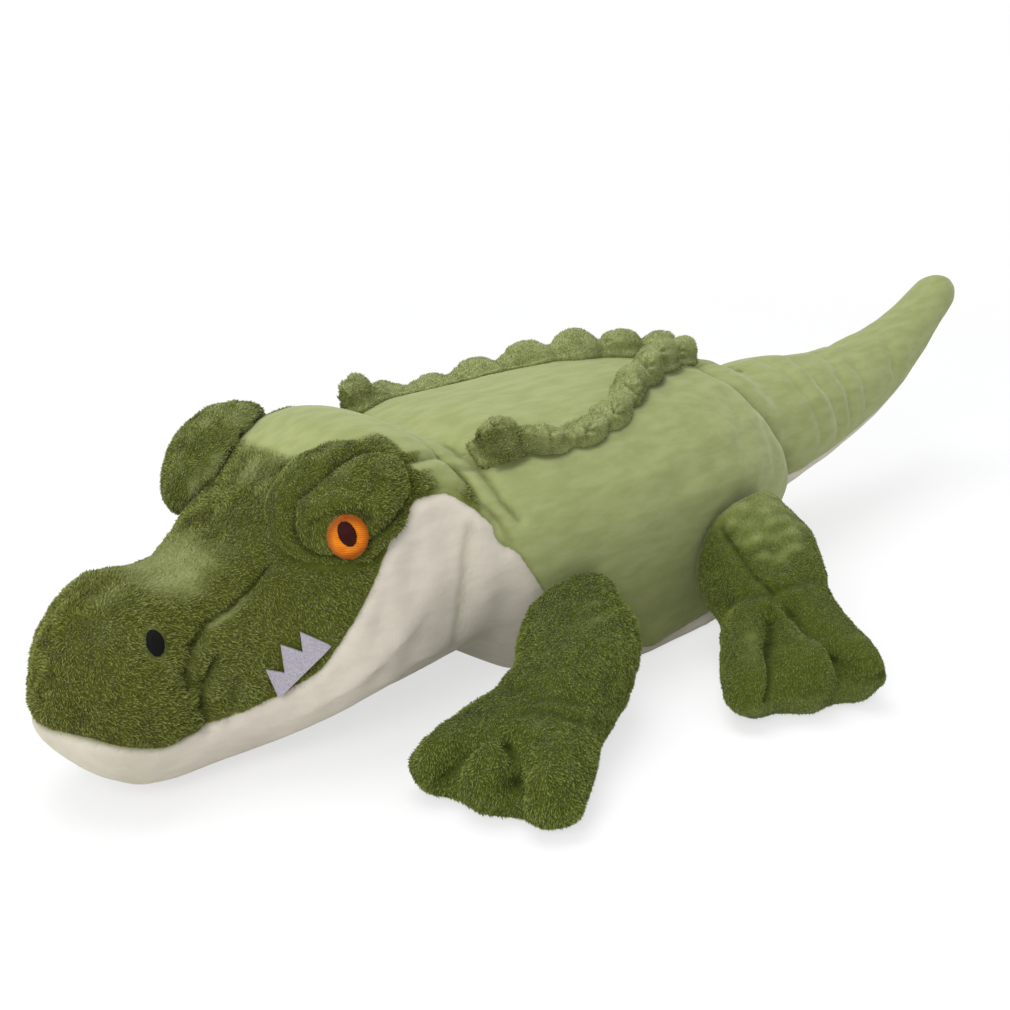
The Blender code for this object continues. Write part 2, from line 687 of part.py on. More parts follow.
# Where the trim sits: share of the head's length and degrees up from the side
BROW_SPOT_SHARES = (0.640, 48.5)
NOSTRIL_SPOT_SHARES = (0.20, 37)
TEETH_SPOT_SHARES = (0.505, 2)
BROW_RINGS, EYE_RINGS = (1.0, 0.86, 0.62, 0.32), (1.0, 0.6)
# Outline of the teeth along the strip: shares of its length and of the tooth height
TOOTH_SHARES = ((0.00, 0.06), (0.18, 0.86), (0.31, 0.40), (0.56, 1.00), (0.69, 0.45), (0.87, 0.87),
                (1.00, 0.10))
TEETH_TILT = math.radians(38)


def add_teeth(name, patch, material, pivot):
    """A strip of three pointed teeth, cut from one piece of cloth."""
    top, bottom = [], []
    for along, reach in TOOTH_SHARES:
        for level in (0.0, 0.5, 1.0):
            sideways = (along - 0.5) * TOOTH_STRIP_LENGTH
            upward = level * reach * TOOTH_HEIGHT
            bottom.append(patch.drop(sideways, upward, 0.0))
            top.append(patch.drop(sideways, upward, TOOTH_THICKNESS))
    count, levels = len(top), 3
    faces = []
    for column in range(len(TOOTH_SHARES) - 1):
        for level in range(levels - 1):
            loop = [column * levels + level, (column + 1) * levels + level,
                    (column + 1) * levels + level + 1, column * levels + level + 1]
            faces += [loop, [k + count for k in reversed(loop)]]
    last = (len(TOOTH_SHARES) - 1) * levels
    rim = [k * levels for k in range(len(TOOTH_SHARES))] + [last + 1, last + 2]
    rim += [k * levels + 2 for k in range(len(TOOTH_SHARES) - 2, -1, -1)] + [1]
    faces += [[here, there, there + count, here + count] for here, there in zip(rim, rim[1:] + rim[:1])]
    return add_object(name, top + bottom, faces, material, pivot)


def add_head(colours):
    pivot = add_pivot("neck_pivot", NECK_CENTRE)
    clear = outside_barrel(NECK_CENTRE, NECK_HALF_WIDTH + JOINT_GAP, NECK_RADIUS + JOINT_GAP)
    head = Form(np.array([head_section(place) for place in HEAD_PLACES]), [clear, above_floor])
    crown = skin_panel("head_panel", head, lambda row, column: column >= JAW_COLUMNS, colours["green"], pivot)
    skin_panel("jaw_panel", head, lambda row, column: column < JAW_COLUMNS, colours["cream"], pivot)
    apex = NECK_CENTRE - np.array((0, NECK_RADIUS, 0))
    room = outside_barrel(NECK_CENTRE, NECK_HALF_WIDTH + CUP_GAP, NECK_RADIUS + CUP_GAP)
    cup = cup_rings(head.drawn_in(CLOTH + FILLING_GAP)[-2], apex, room)
    stuffing("head_stuffing", head, colours["filling"], pivot, cup, -1)
    tree = tree_of(head)
    for side, flip in (("left", np.ones(3)), ("right", OTHER_SIDE)):
        spot, normal = (value * flip for value in on_head(*BROW_SPOT_SHARES))
        board = Patch(tree, spot, normal, np.array((0, 1.0, 0)), PAD_GAP)
        brow = dome(f"brow_{side}", board, BROW_HALF_LENGTH, BROW_HALF_HEIGHT, BROW_THICKNESS, BROW_RINGS, 20,
                    0.6, colours["green"], pivot)
        board = Patch(tree_of_pieces(crown, brow), spot, normal, np.array((0, 1.0, 0)), EYE_GAP)
        eye = dome(f"eye_{side}", board, EYE_HALF_WIDTH, EYE_HALF_HEIGHT, EYE_THICKNESS, EYE_RINGS, 14, 0.5,
                   colours["iris"], pivot, (-EYE_AHEAD_OF_BROW, -EYE_BELOW_BROW))
        board = Patch(tree_of_pieces(crown, brow, eye), spot, normal, np.array((0, 1.0, 0)))
        dome(f"pupil_{side}", board, PUPIL_HALF_WIDTH, PUPIL_HALF_HEIGHT, PUPIL_THICKNESS, EYE_RINGS, 12, 0.5,
             colours["dark thread"], pivot, (-EYE_AHEAD_OF_BROW, -EYE_BELOW_BROW))
        spot, normal = (value * flip for value in on_head(*NOSTRIL_SPOT_SHARES))
        board = Patch(tree, spot, normal, np.array((0, 1.0, 0)))
        dome(f"nostril_{side}", board, NOSTRIL_HALF_WIDTH, NOSTRIL_HALF_HEIGHT, NOSTRIL_THICKNESS, EYE_RINGS,
             12, 0.5, colours["dark thread"], pivot)
        spot, normal = (value * flip for value in on_head(*TEETH_SPOT_SHARES))
        along = np.array((0, math.cos(TEETH_TILT), math.sin(TEETH_TILT)))
        add_teeth(f"teeth_{side}", Patch(tree, spot, normal, along, TOOTH_GAP), colours["felt"], pivot)


# Tail

TAIL_TILT = math.radians(9)
TAIL_UNDER_COLUMNS, TAIL_OVER_COLUMNS = 4, 8
TAIL_SEAM_ANGLE = math.radians(-35)
TAIL_PLACES = (0.0, 0.06, 0.14, 0.24, 0.36, 0.48, 0.60, 0.72, 0.84, 0.93, 0.975, 0.995, 1.0)
# Shares of the tail's length: its sweep to the right, its length and its rise
TAIL_SPINE_SHARES = ((0.00, 0.00, 0.00, 0.00), (0.10, 0.00, 0.10, 0.07), (0.25, 0.05, 0.25, 0.08),
                     (0.50, 0.25, 0.50, 0.19), (0.75, 0.55, 0.75, 0.54), (0.90, 0.80, 0.90, 0.86),
                     (1.00, 1.00, 1.00, 1.00))
TAIL_WIDTH_SHARES = ((0.00, 1.00), (0.12, 0.96), (0.30, 0.79), (0.55, 0.60), (0.80, 0.42), (1.00, 0.32))
SPINE_STEP = 0.02


def tail_grid():
    aim = np.array((0, math.cos(TAIL_TILT), math.sin(TAIL_TILT)))
    root = RUMP_CENTRE + aim * math.sqrt(RUMP_RADIUS**2 - TAIL_BASE_RADIUS**2)
    spine = [(place, -side * TAIL_SIDE_SWEEP, along * TAIL_LENGTH, rise * TAIL_TIP_RISE)
             for place, side, along, rise in TAIL_SPINE_SHARES]
    widths = [(place, share * TAIL_BASE_RADIUS) for place, share in TAIL_WIDTH_SHARES]
    angles = columns_between((-math.pi - TAIL_SEAM_ANGLE, TAIL_SEAM_ANGLE, math.pi - TAIL_SEAM_ANGLE),
                             (TAIL_UNDER_COLUMNS, TAIL_OVER_COLUMNS))
    grid = []
    for place in TAIL_PLACES:
        after, before = min(1, place + SPINE_STEP), max(0, place - SPINE_STEP)
        ahead = unit(curve_through(spine, after) - curve_through(spine, before)) if place else aim
        across = unit(np.cross(ahead, UP))
        size = curve_through(widths, place)[0] * rounded_end((1 - place) * TAIL_LENGTH, TAIL_TIP_ROUNDING)
        grid.append(section(root + curve_through(spine, place), across, np.cross(across, ahead), size, size,
                            size, 2, 2, angles))
    return np.array(grid)


def add_tail(colours):
    pivot = add_pivot("rump_pivot", RUMP_CENTRE)
    clear = outside_ball(RUMP_CENTRE, RUMP_RADIUS + JOINT_GAP)
    tail = Form(tail_grid(), [clear])
    skin_panel("tail_panel", tail, lambda row, column: column >= TAIL_UNDER_COLUMNS, colours["sage"], pivot)
    skin_panel("tail_underside_panel", tail, lambda row, column: column < TAIL_UNDER_COLUMNS,
               colours["cream"], pivot)
    inner = tail.drawn_in(CLOTH + FILLING_GAP)
    apex = RUMP_CENTRE + RUMP_RADIUS * unit(inner[0].mean(axis=0) - RUMP_CENTRE)
    cup = cup_rings(inner[1], apex, outside_ball(RUMP_CENTRE, RUMP_RADIUS + CUP_GAP))
    turned = Form(tail.grid[::-1], tail.limits, tail.normals[::-1])
    stuffing("tail_stuffing", turned, colours["filling"], pivot, cup, -1)


# Legs

TOP_COSINES = (1.0, 0.86, 0.64, 0.34, 0.0, -0.34, -0.64, -0.86)
LEG_PLACES = (0.0, 0.15, 0.28, 0.40, 0.51, 0.62, 0.74, 0.86, 0.93, 0.97, 1.0)
SOLE_FIRST_ROW = 5
LEG_SQUARENESS = 2.15
TOE_CLOSING_SHARE = 0.13
TOE_ROOT_SHARE = 0.66
TOE_DIP_SHARE = 0.30
TOE_SPREADING = 1.5
TOE_SEAM_HEIGHT_SHARE = 0.36
TIP_DEPTHS = 0.9
SOLE_END = LEG_PLACES[-4]
UNDER_COLUMNS = [0, *range(len(TOP_COSINES), 2 * len(TOP_COSINES))]
PATH_STEPS = 200
CORE_NARROWING_SHARE = 0.22
CORE_DIP_SHARE = 0.45
CORE_ROWS = 8
# Where the seats are along the torso, how the feet point outwards and how far the legs curve
FORELEG_SEAT_SHARE, HINDLEG_SEAT_SHARE = 0.055, 0.745
FORE_FOOT_HEADING, HIND_FOOT_HEADING = math.radians(17), math.radians(72)
FORELEG_REACH_SHARES, HINDLEG_REACH_SHARES = (0.80, 0.75), (0.45, 0.60)
# Shares along a leg: of the leg's and of the foot's half width
LEG_WIDTH_SHARES = ((0.00, 1.00, 0.00), (0.25, 0.94, 0.00), (0.50, 0.66, 0.11), (0.68, 0.30, 0.56),
                    (0.84, 0.00, 0.94), (0.94, 0.00, 1.00), (1.00, 0.00, 0.93))
# Shares along a leg: of the leg's half thickness and the foot's height, above the path and below it
LEG_HEIGHT_SHARES = ((0.00, 1.00, 0.00, 1.00, 0.00), (0.30, 1.00, 0.00, 0.97, 0.00),
                     (0.55, 0.55, 0.28, 0.60, 0.20), (0.75, 0.05, 0.58, 0.05, 0.50),
                     (1.00, 0.00, 0.64, 0.00, 0.45))


class Leg:
    """One kind of leg: its seat on the flank, its thickness and its foot."""

    def __init__(self, seat, half_width, half_thickness, foot_half_width, foot_height,
                 foot_spot, heading, reach_shares):
        self.half_width, self.half_thickness = half_width, half_thickness
        self.foot_half_width, self.foot_height = foot_half_width, foot_height
        self.toe = np.array((*foot_spot, foot_height * TOE_SEAM_HEIGHT_SHARE))
        self.heading = np.array((math.sin(heading), -math.cos(heading), 0))
        self.reach_shares = reach_shares
        place, height, tilt = seat
        self.normal = np.array((math.cos(tilt), 0, math.sin(tilt)))
        self.spot = seat_on_torso(place, height) - SEAT_DEPTH * self.normal

        steps = np.linspace(0, 1, PATH_STEPS)
        walked = np.cumsum([0, *np.linalg.norm(np.diff([self.along(t)[0] for t in steps], axis=0), axis=1)])
        self.steps, self.walked = steps, walked / walked[-1]

    def path(self, place):
        """Place and heading at a share of the way from the seat to the toes."""
        return self.along(float(np.interp(place, self.walked, self.steps)))

    def along(self, t):
        start = self.spot + SEAM_GAP * self.normal
        gap = np.linalg.norm(self.toe - start)
        leave, arrive = self.normal * gap * self.reach_shares[0], self.heading * gap * self.reach_shares[1]
        here = ((2 * t**3 - 3 * t**2 + 1) * start + (t**3 - 2 * t**2 + t) * leave
                + (3 * t**2 - 2 * t**3) * self.toe + (t**3 - t**2) * arrive)
        ahead = ((6 * t**2 - 6 * t) * start + (3 * t**2 - 4 * t + 1) * leave
                 + (6 * t - 6 * t**2) * self.toe + (3 * t**2 - 2 * t) * arrive)
        return here, unit(ahead)

    def grid(self, depth=0.0, toes=1.0):
        """The leg's sections, drawn in by a depth; with no toes they stay under the dips between them."""
        top = np.arccos(np.array(TOP_COSINES))
        angles = np.concatenate([top, math.pi + top])
        rows = []
        for place in LEG_PLACES:
            here, ahead = self.path(place)
            across = unit(np.cross(UP, ahead))
            up = np.cross(ahead, across)
            wide = curve_through(LEG_WIDTH_SHARES, place) @ (self.half_width, self.foot_half_width)
            heights = curve_through(LEG_HEIGHT_SHARES, place).reshape(2, 2)
            closing = rounded_end(1 - place, TOE_CLOSING_SHARE)
            rise, drop = np.maximum(heights @ (self.half_thickness, self.foot_height) * closing - depth, 0)
            growing = max(0, (place - TOE_ROOT_SHARE) / (1 - TOE_ROOT_SHARE))
            rise -= (1 - toes) * growing * self.foot_height * CORE_DIP_SHARE
            wide -= (1 - toes) * growing * self.foot_half_width * CORE_NARROWING_SHARE + depth
            ring = section(here, across, up, wide, rise, drop, LEG_SQUARENESS, LEG_SQUARENESS, angles)
            between_toes = toes * (0.5 - 0.5 * np.cos(3 * math.pi * np.cos(angles)))
            between_toes[UNDER_COLUMNS] *= max(0, (place - SOLE_END) / (1 - SOLE_END))
            back = TOE_NOTCH * growing**TOE_SPREADING * between_toes
            back += depth * TIP_DEPTHS * max(0, 1 - closing)
            ring -= back[:, None] * ahead
            dip = growing * closing * between_toes * self.foot_height * TOE_DIP_SHARE
            ring[:, 2] -= np.where(angles < math.pi, dip, 0)
            rows.append(ring)
        return np.array(rows)


def add_leg(name, leg, colours):
    form = Form(leg.grid(), [before_seat(leg.spot, leg.normal), above_floor], remade=leg.grid)
    core = Form(leg.grid(0.0, 0.0), form.limits, remade=lambda depth: leg.grid(depth, 0.0))
    half = len(TOP_COSINES)
    for side, shape, where in (("left", form, leg.spot), ("right", form.mirrored(), leg.spot * OTHER_SIDE)):
        pivot = add_pivot(f"{name}_{side}_pivot", where)

        def on_sole(row, column, side=side):
            under = column > half if side == "left" else column < half - 2
            return SOLE_FIRST_ROW <= row < len(LEG_PLACES) - 4 and under and column < 2 * half - 1
        skin_panel(f"{name}_{side}_panel", shape, lambda row, column: not on_sole(row, column),
                   colours["leg"], pivot)
        skin_panel(f"{name}_{side}_sole", shape, on_sole, colours["leg"], pivot)
        stuffing(f"{name}_{side}_stuffing", core if side == "left" else core.mirrored(), colours["filling"],
                 pivot, rows=CORE_ROWS)


def build():
    clear_scene()
    colours = {
        "green": finish("head_plush", (0.125, 0.185, 0.050), 0.95),
        "leg": finish("leg_plush", (0.140, 0.215, 0.050), 0.95),
        "sage": finish("back_plush", (0.330, 0.400, 0.165), 0.90),
        "cream": finish("belly_plush", (0.720, 0.690, 0.620), 0.95),
        "filling": finish("polyester_filling", (0.850, 0.850, 0.820), 1.0),
        "iris": finish("orange_thread", (0.560, 0.160, 0.010), 0.45),
        "dark thread": finish("dark_thread", (0.030, 0.012, 0.010), 0.50),
        "felt": finish("silver_cloth", (0.480, 0.450, 0.520), 0.35, 0.3),
    }
    forelegs = Leg((FORELEG_SEAT_SHARE, FORELEG_SEAT_HEIGHT, FORELEG_SEAT_TILT), FORELEG_HALF_WIDTH,
                   FORELEG_HALF_THICKNESS, FORE_FOOT_HALF_WIDTH, FORE_FOOT_HEIGHT,
                   (FORE_FOOT_OUT, -FORE_FOOT_AHEAD), FORE_FOOT_HEADING, FORELEG_REACH_SHARES)
    hindlegs = Leg((HINDLEG_SEAT_SHARE, HINDLEG_SEAT_HEIGHT, HINDLEG_SEAT_TILT), HINDLEG_HALF_WIDTH,
                   HINDLEG_HALF_THICKNESS, HIND_FOOT_HALF_WIDTH, HIND_FOOT_HEIGHT,
                   (HIND_FOOT_OUT, -HIND_FOOT_AHEAD), HIND_FOOT_HEADING, HINDLEG_REACH_SHARES)
    seats = [(leg.spot, leg.normal, leg.half_width * SEAT_ROOM) for leg in (forelegs, hindlegs)]
    torso = add_torso(seats, colours["sage"], colours["cream"], colours["filling"])
    add_ridge("ridge_left", torso, 1, colours["sage"])
    add_ridge("ridge_right", torso, -1, colours["sage"])
    add_head(colours)
    add_tail(colours)
    add_leg("foreleg", forelegs, colours)
    add_leg("hindleg", hindlegs, colours)


build()
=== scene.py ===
"""The looks of a long plush crocodile that lies on its belly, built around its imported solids."""

from math import radians, tau

import bpy
import bmesh
import numpy as np
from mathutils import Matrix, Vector
from mathutils.bvhtree import BVHTree
from mathutils.kdtree import KDTree


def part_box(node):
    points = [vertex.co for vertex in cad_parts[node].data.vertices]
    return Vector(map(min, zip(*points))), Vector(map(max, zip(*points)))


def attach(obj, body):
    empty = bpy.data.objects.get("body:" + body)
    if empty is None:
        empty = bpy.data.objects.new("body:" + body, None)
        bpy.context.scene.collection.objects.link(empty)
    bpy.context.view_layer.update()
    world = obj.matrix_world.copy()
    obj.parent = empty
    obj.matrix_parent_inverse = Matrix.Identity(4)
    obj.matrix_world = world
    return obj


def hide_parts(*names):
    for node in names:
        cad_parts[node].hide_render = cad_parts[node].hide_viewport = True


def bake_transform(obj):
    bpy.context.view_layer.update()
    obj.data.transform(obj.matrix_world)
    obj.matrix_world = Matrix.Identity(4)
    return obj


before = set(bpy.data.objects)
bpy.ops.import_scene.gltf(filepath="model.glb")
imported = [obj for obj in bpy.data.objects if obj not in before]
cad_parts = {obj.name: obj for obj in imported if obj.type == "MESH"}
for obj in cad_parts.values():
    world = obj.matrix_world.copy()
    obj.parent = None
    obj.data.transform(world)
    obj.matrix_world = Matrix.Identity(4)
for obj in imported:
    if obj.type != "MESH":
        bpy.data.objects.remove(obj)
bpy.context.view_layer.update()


# ---------------------------------------------------------------------------------------------
# The table top and the light. A white sheet of board under a large soft lamp, high on the left.
# The camera looks down on the nose from the front left corner of the table.

eye_point = bpy.data.cameras.new("camera")
eye_point.lens = 57.03
eye_point.sensor_width = 36
camera = bpy.data.objects.new("camera", eye_point)
camera.location = (0.4426, -0.4665, 0.2702)
camera.rotation_euler = (radians(71), 0, radians(46))
bpy.context.scene.collection.objects.link(camera)
bpy.context.scene.camera = camera
bpy.context.scene.view_settings.view_transform = "Standard"


def linear(red, green, blue):
    """A colour as it is seen on a screen, from 0 to 255, in the linear numbers that a shader takes."""
    shares = (share / 255 for share in (red, green, blue))
    return (*(s / 12.92 if s <= 0.04045 else ((s + 0.055) / 1.055) ** 2.4 for s in shares), 1)


class Value:
    """A socket of a material, on which sums add their Math nodes."""

    def __init__(self, finish, socket):
        self.finish = finish
        self.socket = socket

    def maths(self, operation, *terms):
        return self.finish.node("ShaderNodeMath", {"operation": operation}, dict(enumerate(terms)))

    def __add__(self, other):
        return self.maths("ADD", self, other)

    def __sub__(self, other):
        return self.maths("SUBTRACT", self, other)

    def __rsub__(self, other):
        return self.maths("SUBTRACT", other, self)

    def __mul__(self, other):
        return self.maths("MULTIPLY", self, other)

    def over(self, low, high):
        """0 below low, 1 above high and smooth between them."""
        sockets = {"Value": self, "From Min": low, "From Max": high}
        return self.finish.node("ShaderNodeMapRange", {"interpolation_type": "SMOOTHSTEP"}, sockets)


class Finish:
    """A material whose nodes are added one by one, and which ends in one Principled shader."""

    def __init__(self, name):
        self.material = bpy.data.materials.new(name)
        self.material.use_nodes = True
        self.tree = self.material.node_tree
        self.shader = self.tree.nodes["Principled BSDF"]

    def node(self, kind, settings=(), sockets=(), output=0):
        node = self.tree.nodes.new(kind)
        for name, value in dict(settings).items():
            setattr(node, name, value)
        for name, value in dict(sockets).items():
            self.put(node.inputs[name], value)
        return Value(self, node.outputs[output])

    def put(self, socket, value):
        if isinstance(value, Value):
            self.tree.links.new(value.socket, socket)
        else:
            socket.default_value = value

    def attribute(self, name):
        return self.node("ShaderNodeAttribute", {"attribute_name": name}, output="Fac")

    def mix(self, factor, first, second, blend="MIX"):
        settings = {"data_type": "RGBA", "blend_type": blend}
        return self.node("ShaderNodeMix", settings, {0: factor, 6: first, 7: second}, 2)

    def place(self, scale=(1, 1, 1)):
        spot = self.node("ShaderNodeTexCoord", output="Object")
        return self.node("ShaderNodeMapping", (), {"Vector": spot, "Scale": scale})

    def speckle(self, scale, detail=2, place=None):
        sockets = {"Vector": place or self.place(), "Scale": scale, "Detail": detail}
        return self.node("ShaderNodeTexNoise", (), sockets)

    def shade(self, **sockets):
        for name, value in sockets.items():
            self.put(self.shader.inputs[name.replace("_", " ")], value)
        return self.material


board = Finish("white_board")
seen = board.node("ShaderNodeLightPath", output="Is Camera Ray")
mirrored = board.node("ShaderNodeLightPath", output="Is Glossy Ray")
glow = board.node("ShaderNodeEmission", (), {"Color": (1, 1, 1, 1), "Strength": 1.0})
matt = board.node("ShaderNodeBsdfDiffuse", (), {"Color": (0.86, 0.86, 0.86, 1)})
away = board.node("ShaderNodeVectorMath", {"operation": "LENGTH"}, {0: board.place()}, "Value")
bright = (seen + mirrored).over(0, 1) * (away.over(0.3, 0.9) * 0.34 + 0.66)
lit = board.node("ShaderNodeMixShader", (), {0: bright, 1: matt, 2: glow})
board.put(board.tree.nodes["Material Output"].inputs["Surface"], lit)

top = bmesh.new()
bmesh.ops.create_grid(top, x_segments=1, y_segments=1, size=90)
table_mesh = bpy.data.meshes.new("table_top")
top.to_mesh(table_mesh)
table_top = bpy.data.objects.new("table_top", table_mesh)
table_mesh.materials.append(board.material)
bpy.context.scene.collection.objects.link(table_top)

room = bpy.data.worlds.new("room")
room.use_nodes = True
bpy.context.scene.world = room
air = room.node_tree
ray = air.nodes.new("ShaderNodeLightPath")
white = air.nodes.new("ShaderNodeBackground")
white.inputs["Color"].default_value = (1, 1, 1, 1)
white.inputs["Strength"].default_value = 1
soft = air.nodes["Background"]
soft.inputs["Color"].default_value = (0.96, 0.98, 1, 1)
soft.inputs["Strength"].default_value = 0.62
either = air.nodes.new("ShaderNodeMixShader")
air.links.new(ray.outputs["Is Camera Ray"], either.inputs[0])
air.links.new(soft.outputs[0], either.inputs[1])
air.links.new(white.outputs[0], either.inputs[2])
air.links.new(either.outputs[0], air.nodes["World Output"].inputs["Surface"])

for name, spot, size, power in (
    ("high_lamp", (-0.25, -0.15, 1.5), 1.0, 13.5),
    ("front_lamp", (0.75, -1.35, 0.95), 0.9, 17),
):
    lamp = bpy.data.lights.new(name, "AREA")
    lamp.size = size
    lamp.energy = power
    holder = bpy.data.objects.new(name, lamp)
    holder.location = spot
    from_body = Vector(spot) - Vector((0, 0, 0.05))
    holder.rotation_euler = from_body.to_track_quat("Z", "Y").to_euler()
    bpy.context.scene.collection.objects.link(holder)


# ---------------------------------------------------------------------------------------------
# The trunk's cloth. Short minky plush, deep green on the muzzle, sage over the back and pale
# under chin, belly and tail, sewn inside out, turned and packed with polyester wadding. Head,
# body and tail are drawn as one skin, so that the cloth runs on through neck and tail root.


def cloth_copy(name, nodes, voxel=0.003, smooth=4):
    """One closed skin of even quads round the named solids, a little smoothed."""
    joined = bmesh.new()
    for node in nodes:
        joined.from_mesh(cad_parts[node].data)
    bmesh.ops.remove_doubles(joined, verts=joined.verts, dist=1e-6)
    rough = bpy.data.meshes.new(name)
    joined.to_mesh(rough)
    joined.free()
    piece = bpy.data.objects.new(name, rough)
    bpy.context.scene.collection.objects.link(piece)
    remesh = piece.modifiers.new("even", "REMESH")
    remesh.mode = "VOXEL"
    remesh.voxel_size = voxel
    relax = piece.modifiers.new("relax", "SMOOTH")
    relax.iterations = smooth
    finer = piece.modifiers.new("finer", "SUBSURF")
    finer.levels = 1
    finer.render_levels = 1
    apply_modifiers(piece)
    return piece


def apply_modifiers(piece):
    """The evaluated shape becomes the piece's own mesh."""
    shaped = piece.evaluated_get(bpy.context.evaluated_depsgraph_get())
    mesh = bpy.data.meshes.new_from_object(shaped)
    old = piece.data
    piece.modifiers.clear()
    piece.data = mesh
    bpy.data.meshes.remove(old)
    mesh.name = piece.name


def column(piece, what):
    """The place or the normal of every point, as rows."""
    flat = np.empty(len(piece.data.vertices) * 3)
    piece.data.vertices.foreach_get(what, flat)
    return flat.reshape(-1, 3)


def move_to(piece, points):
    piece.data.vertices.foreach_set("co", np.ascontiguousarray(points).ravel())
    piece.data.update()


def store(piece, name, values, kind="FLOAT"):
    """Writes a number or a vector for every point, which a material or the pile reads."""
    layer = piece.data.attributes.get(name) or piece.data.attributes.new(name, kind, "POINT")
    key = "vector" if kind == "FLOAT_VECTOR" else "value"
    layer.data.foreach_set(key, np.ascontiguousarray(values, dtype=np.float32).ravel())


def stored(piece, name):
    """The numbers that store wrote, or zeros."""
    values = np.zeros(len(piece.data.vertices), np.float32)
    if name in piece.data.attributes:
        piece.data.attributes[name].data.foreach_get("value", values)
    return values


def step(values, low, high):
    """0 below low, 1 above high and smooth between them."""
    share = np.clip((values - low) / (high - low), 0, 1)
    return share * share * (3 - 2 * share)


def bell(far, width):
    """1 where far is nothing, falling off to nothing about twice the width away."""
    return np.exp(-((far / width) ** 2))


def distance_to(nodes, points):
    """How far each point lies from the nearest of the named solids, up to a reach."""
    reach = 0.03
    found = np.full(len(points), np.inf)
    for node in nodes:
        solid = bmesh.new()
        solid.from_mesh(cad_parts[node].data)
        tree = BVHTree.FromBMesh(solid)
        low, high = (np.array(corner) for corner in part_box(node))
        near = np.all((points > low - reach) & (points < high + reach), axis=1)
        far = np.full(len(points), reach)
        far[near] = [tree.find_nearest(Vector(p))[3] for p in points[near]]
        found = np.minimum(found, far)
        solid.free()
    return found


def distance_to_lines(lines, points, both=True):
    """How far each point lies from lines given in millimetres, which the other side mirrors."""
    spacing = 0.001
    dense = []
    for line in lines:
        line = np.array(line, float) / 1000
        steps = np.linalg.norm(np.diff(line, axis=0), axis=1)
        run = np.concatenate([[0], np.cumsum(steps)])
        even = np.linspace(0, run[-1], max(3, int(run[-1] / spacing)))
        dense.append(np.stack([np.interp(even, run, line[:, k]) for k in range(3)], axis=1))
    dense = np.concatenate(dense)
    if both:
        dense = np.concatenate([dense, dense * (-1, 1, 1)])
    tree = KDTree(len(dense))
    for i, p in enumerate(dense):
        tree.insert(p, i)
    tree.balance()
    return np.array([tree.find(p)[2] for p in points])


def ripple(points, scale, seed):
    """Soft lumps and hollows about a length of 1 / scale, mostly within 0.5 up and down."""
    waves = 12
    chance = np.random.default_rng(int(seed * 10))
    ways = chance.normal(size=(3, waves))
    ways *= chance.uniform(0.6, 1.4, waves) * scale * 3 / np.linalg.norm(ways, axis=0)
    return 1.2 * np.sin(points @ ways + chance.uniform(0, tau, waves)).mean(axis=1)


def pull_in(piece, far, width, depth, shade=0.0):
    """Draws the cloth in along a seam or crease and paints the shade that falls in it into its colour. A
    depth below nothing lifts it.
    """
    points = column(piece, "co") - column(piece, "normal") * (depth * bell(far, width))[:, None]
    move_to(piece, points)
    store(piece, "crease_shade", np.maximum(stored(piece, "crease_shade"), shade * bell(far, width * 0.5)))


def evened(piece, rows, weight, rounds):
    """Rows of numbers at the points, drawn to the mean of their neighbours by the weight."""
    ends = np.empty(len(piece.data.edges) * 2, int)
    piece.data.edges.foreach_get("vertices", ends)
    one, other = ends[0::2], ends[1::2]
    rows = rows.copy()
    count = np.bincount(ends, minlength=len(rows))
    for _ in range(rounds):
        for row in rows.T:
            near = np.bincount(one, row[other], len(row)) + np.bincount(other, row[one], len(row))
            row += weight * (near / count - row)
    return rows


def relax_where(piece, weight, rounds):
    """Evens out the cloth where the weight is more than nothing."""
    move_to(piece, evened(piece, column(piece, "co"), weight, rounds))


def clump(piece, weight, seed):
    """Lifts clumps of the deep pile, and gives back where they stand up and where they part."""
    height = 0.0015
    points = column(piece, "co")
    high = (0.5 * ripple(points, 90, seed) + 0.7 * ripple(points, 240, seed + 3)) * weight
    move_to(piece, points + column(piece, "normal") * (height * high)[:, None])
    return high


def lay(piece, direction, swirl):
    """The way the pile was brushed, along the cloth, and how far whorls and clumps turn it."""
    whorls, small_clumps = 34, 210
    points, normals = column(piece, "co"), column(piece, "normal")
    flow = np.broadcast_to(np.array(direction, float), points.shape).copy()
    for axis in range(3):
        flow[:, axis] += swirl * 0.8 * ripple(points, whorls, 3.0 + axis * 5.3)
        flow[:, axis] += swirl * 1.6 * ripple(points, small_clumps, 43.0 + axis * 5.3)
    flow -= normals * np.sum(flow * normals, axis=1)[:, None]
    flow /= np.maximum(np.linalg.norm(flow, axis=1), 1e-6)[:, None]
    store(piece, "nap", flow, "FLOAT_VECTOR")


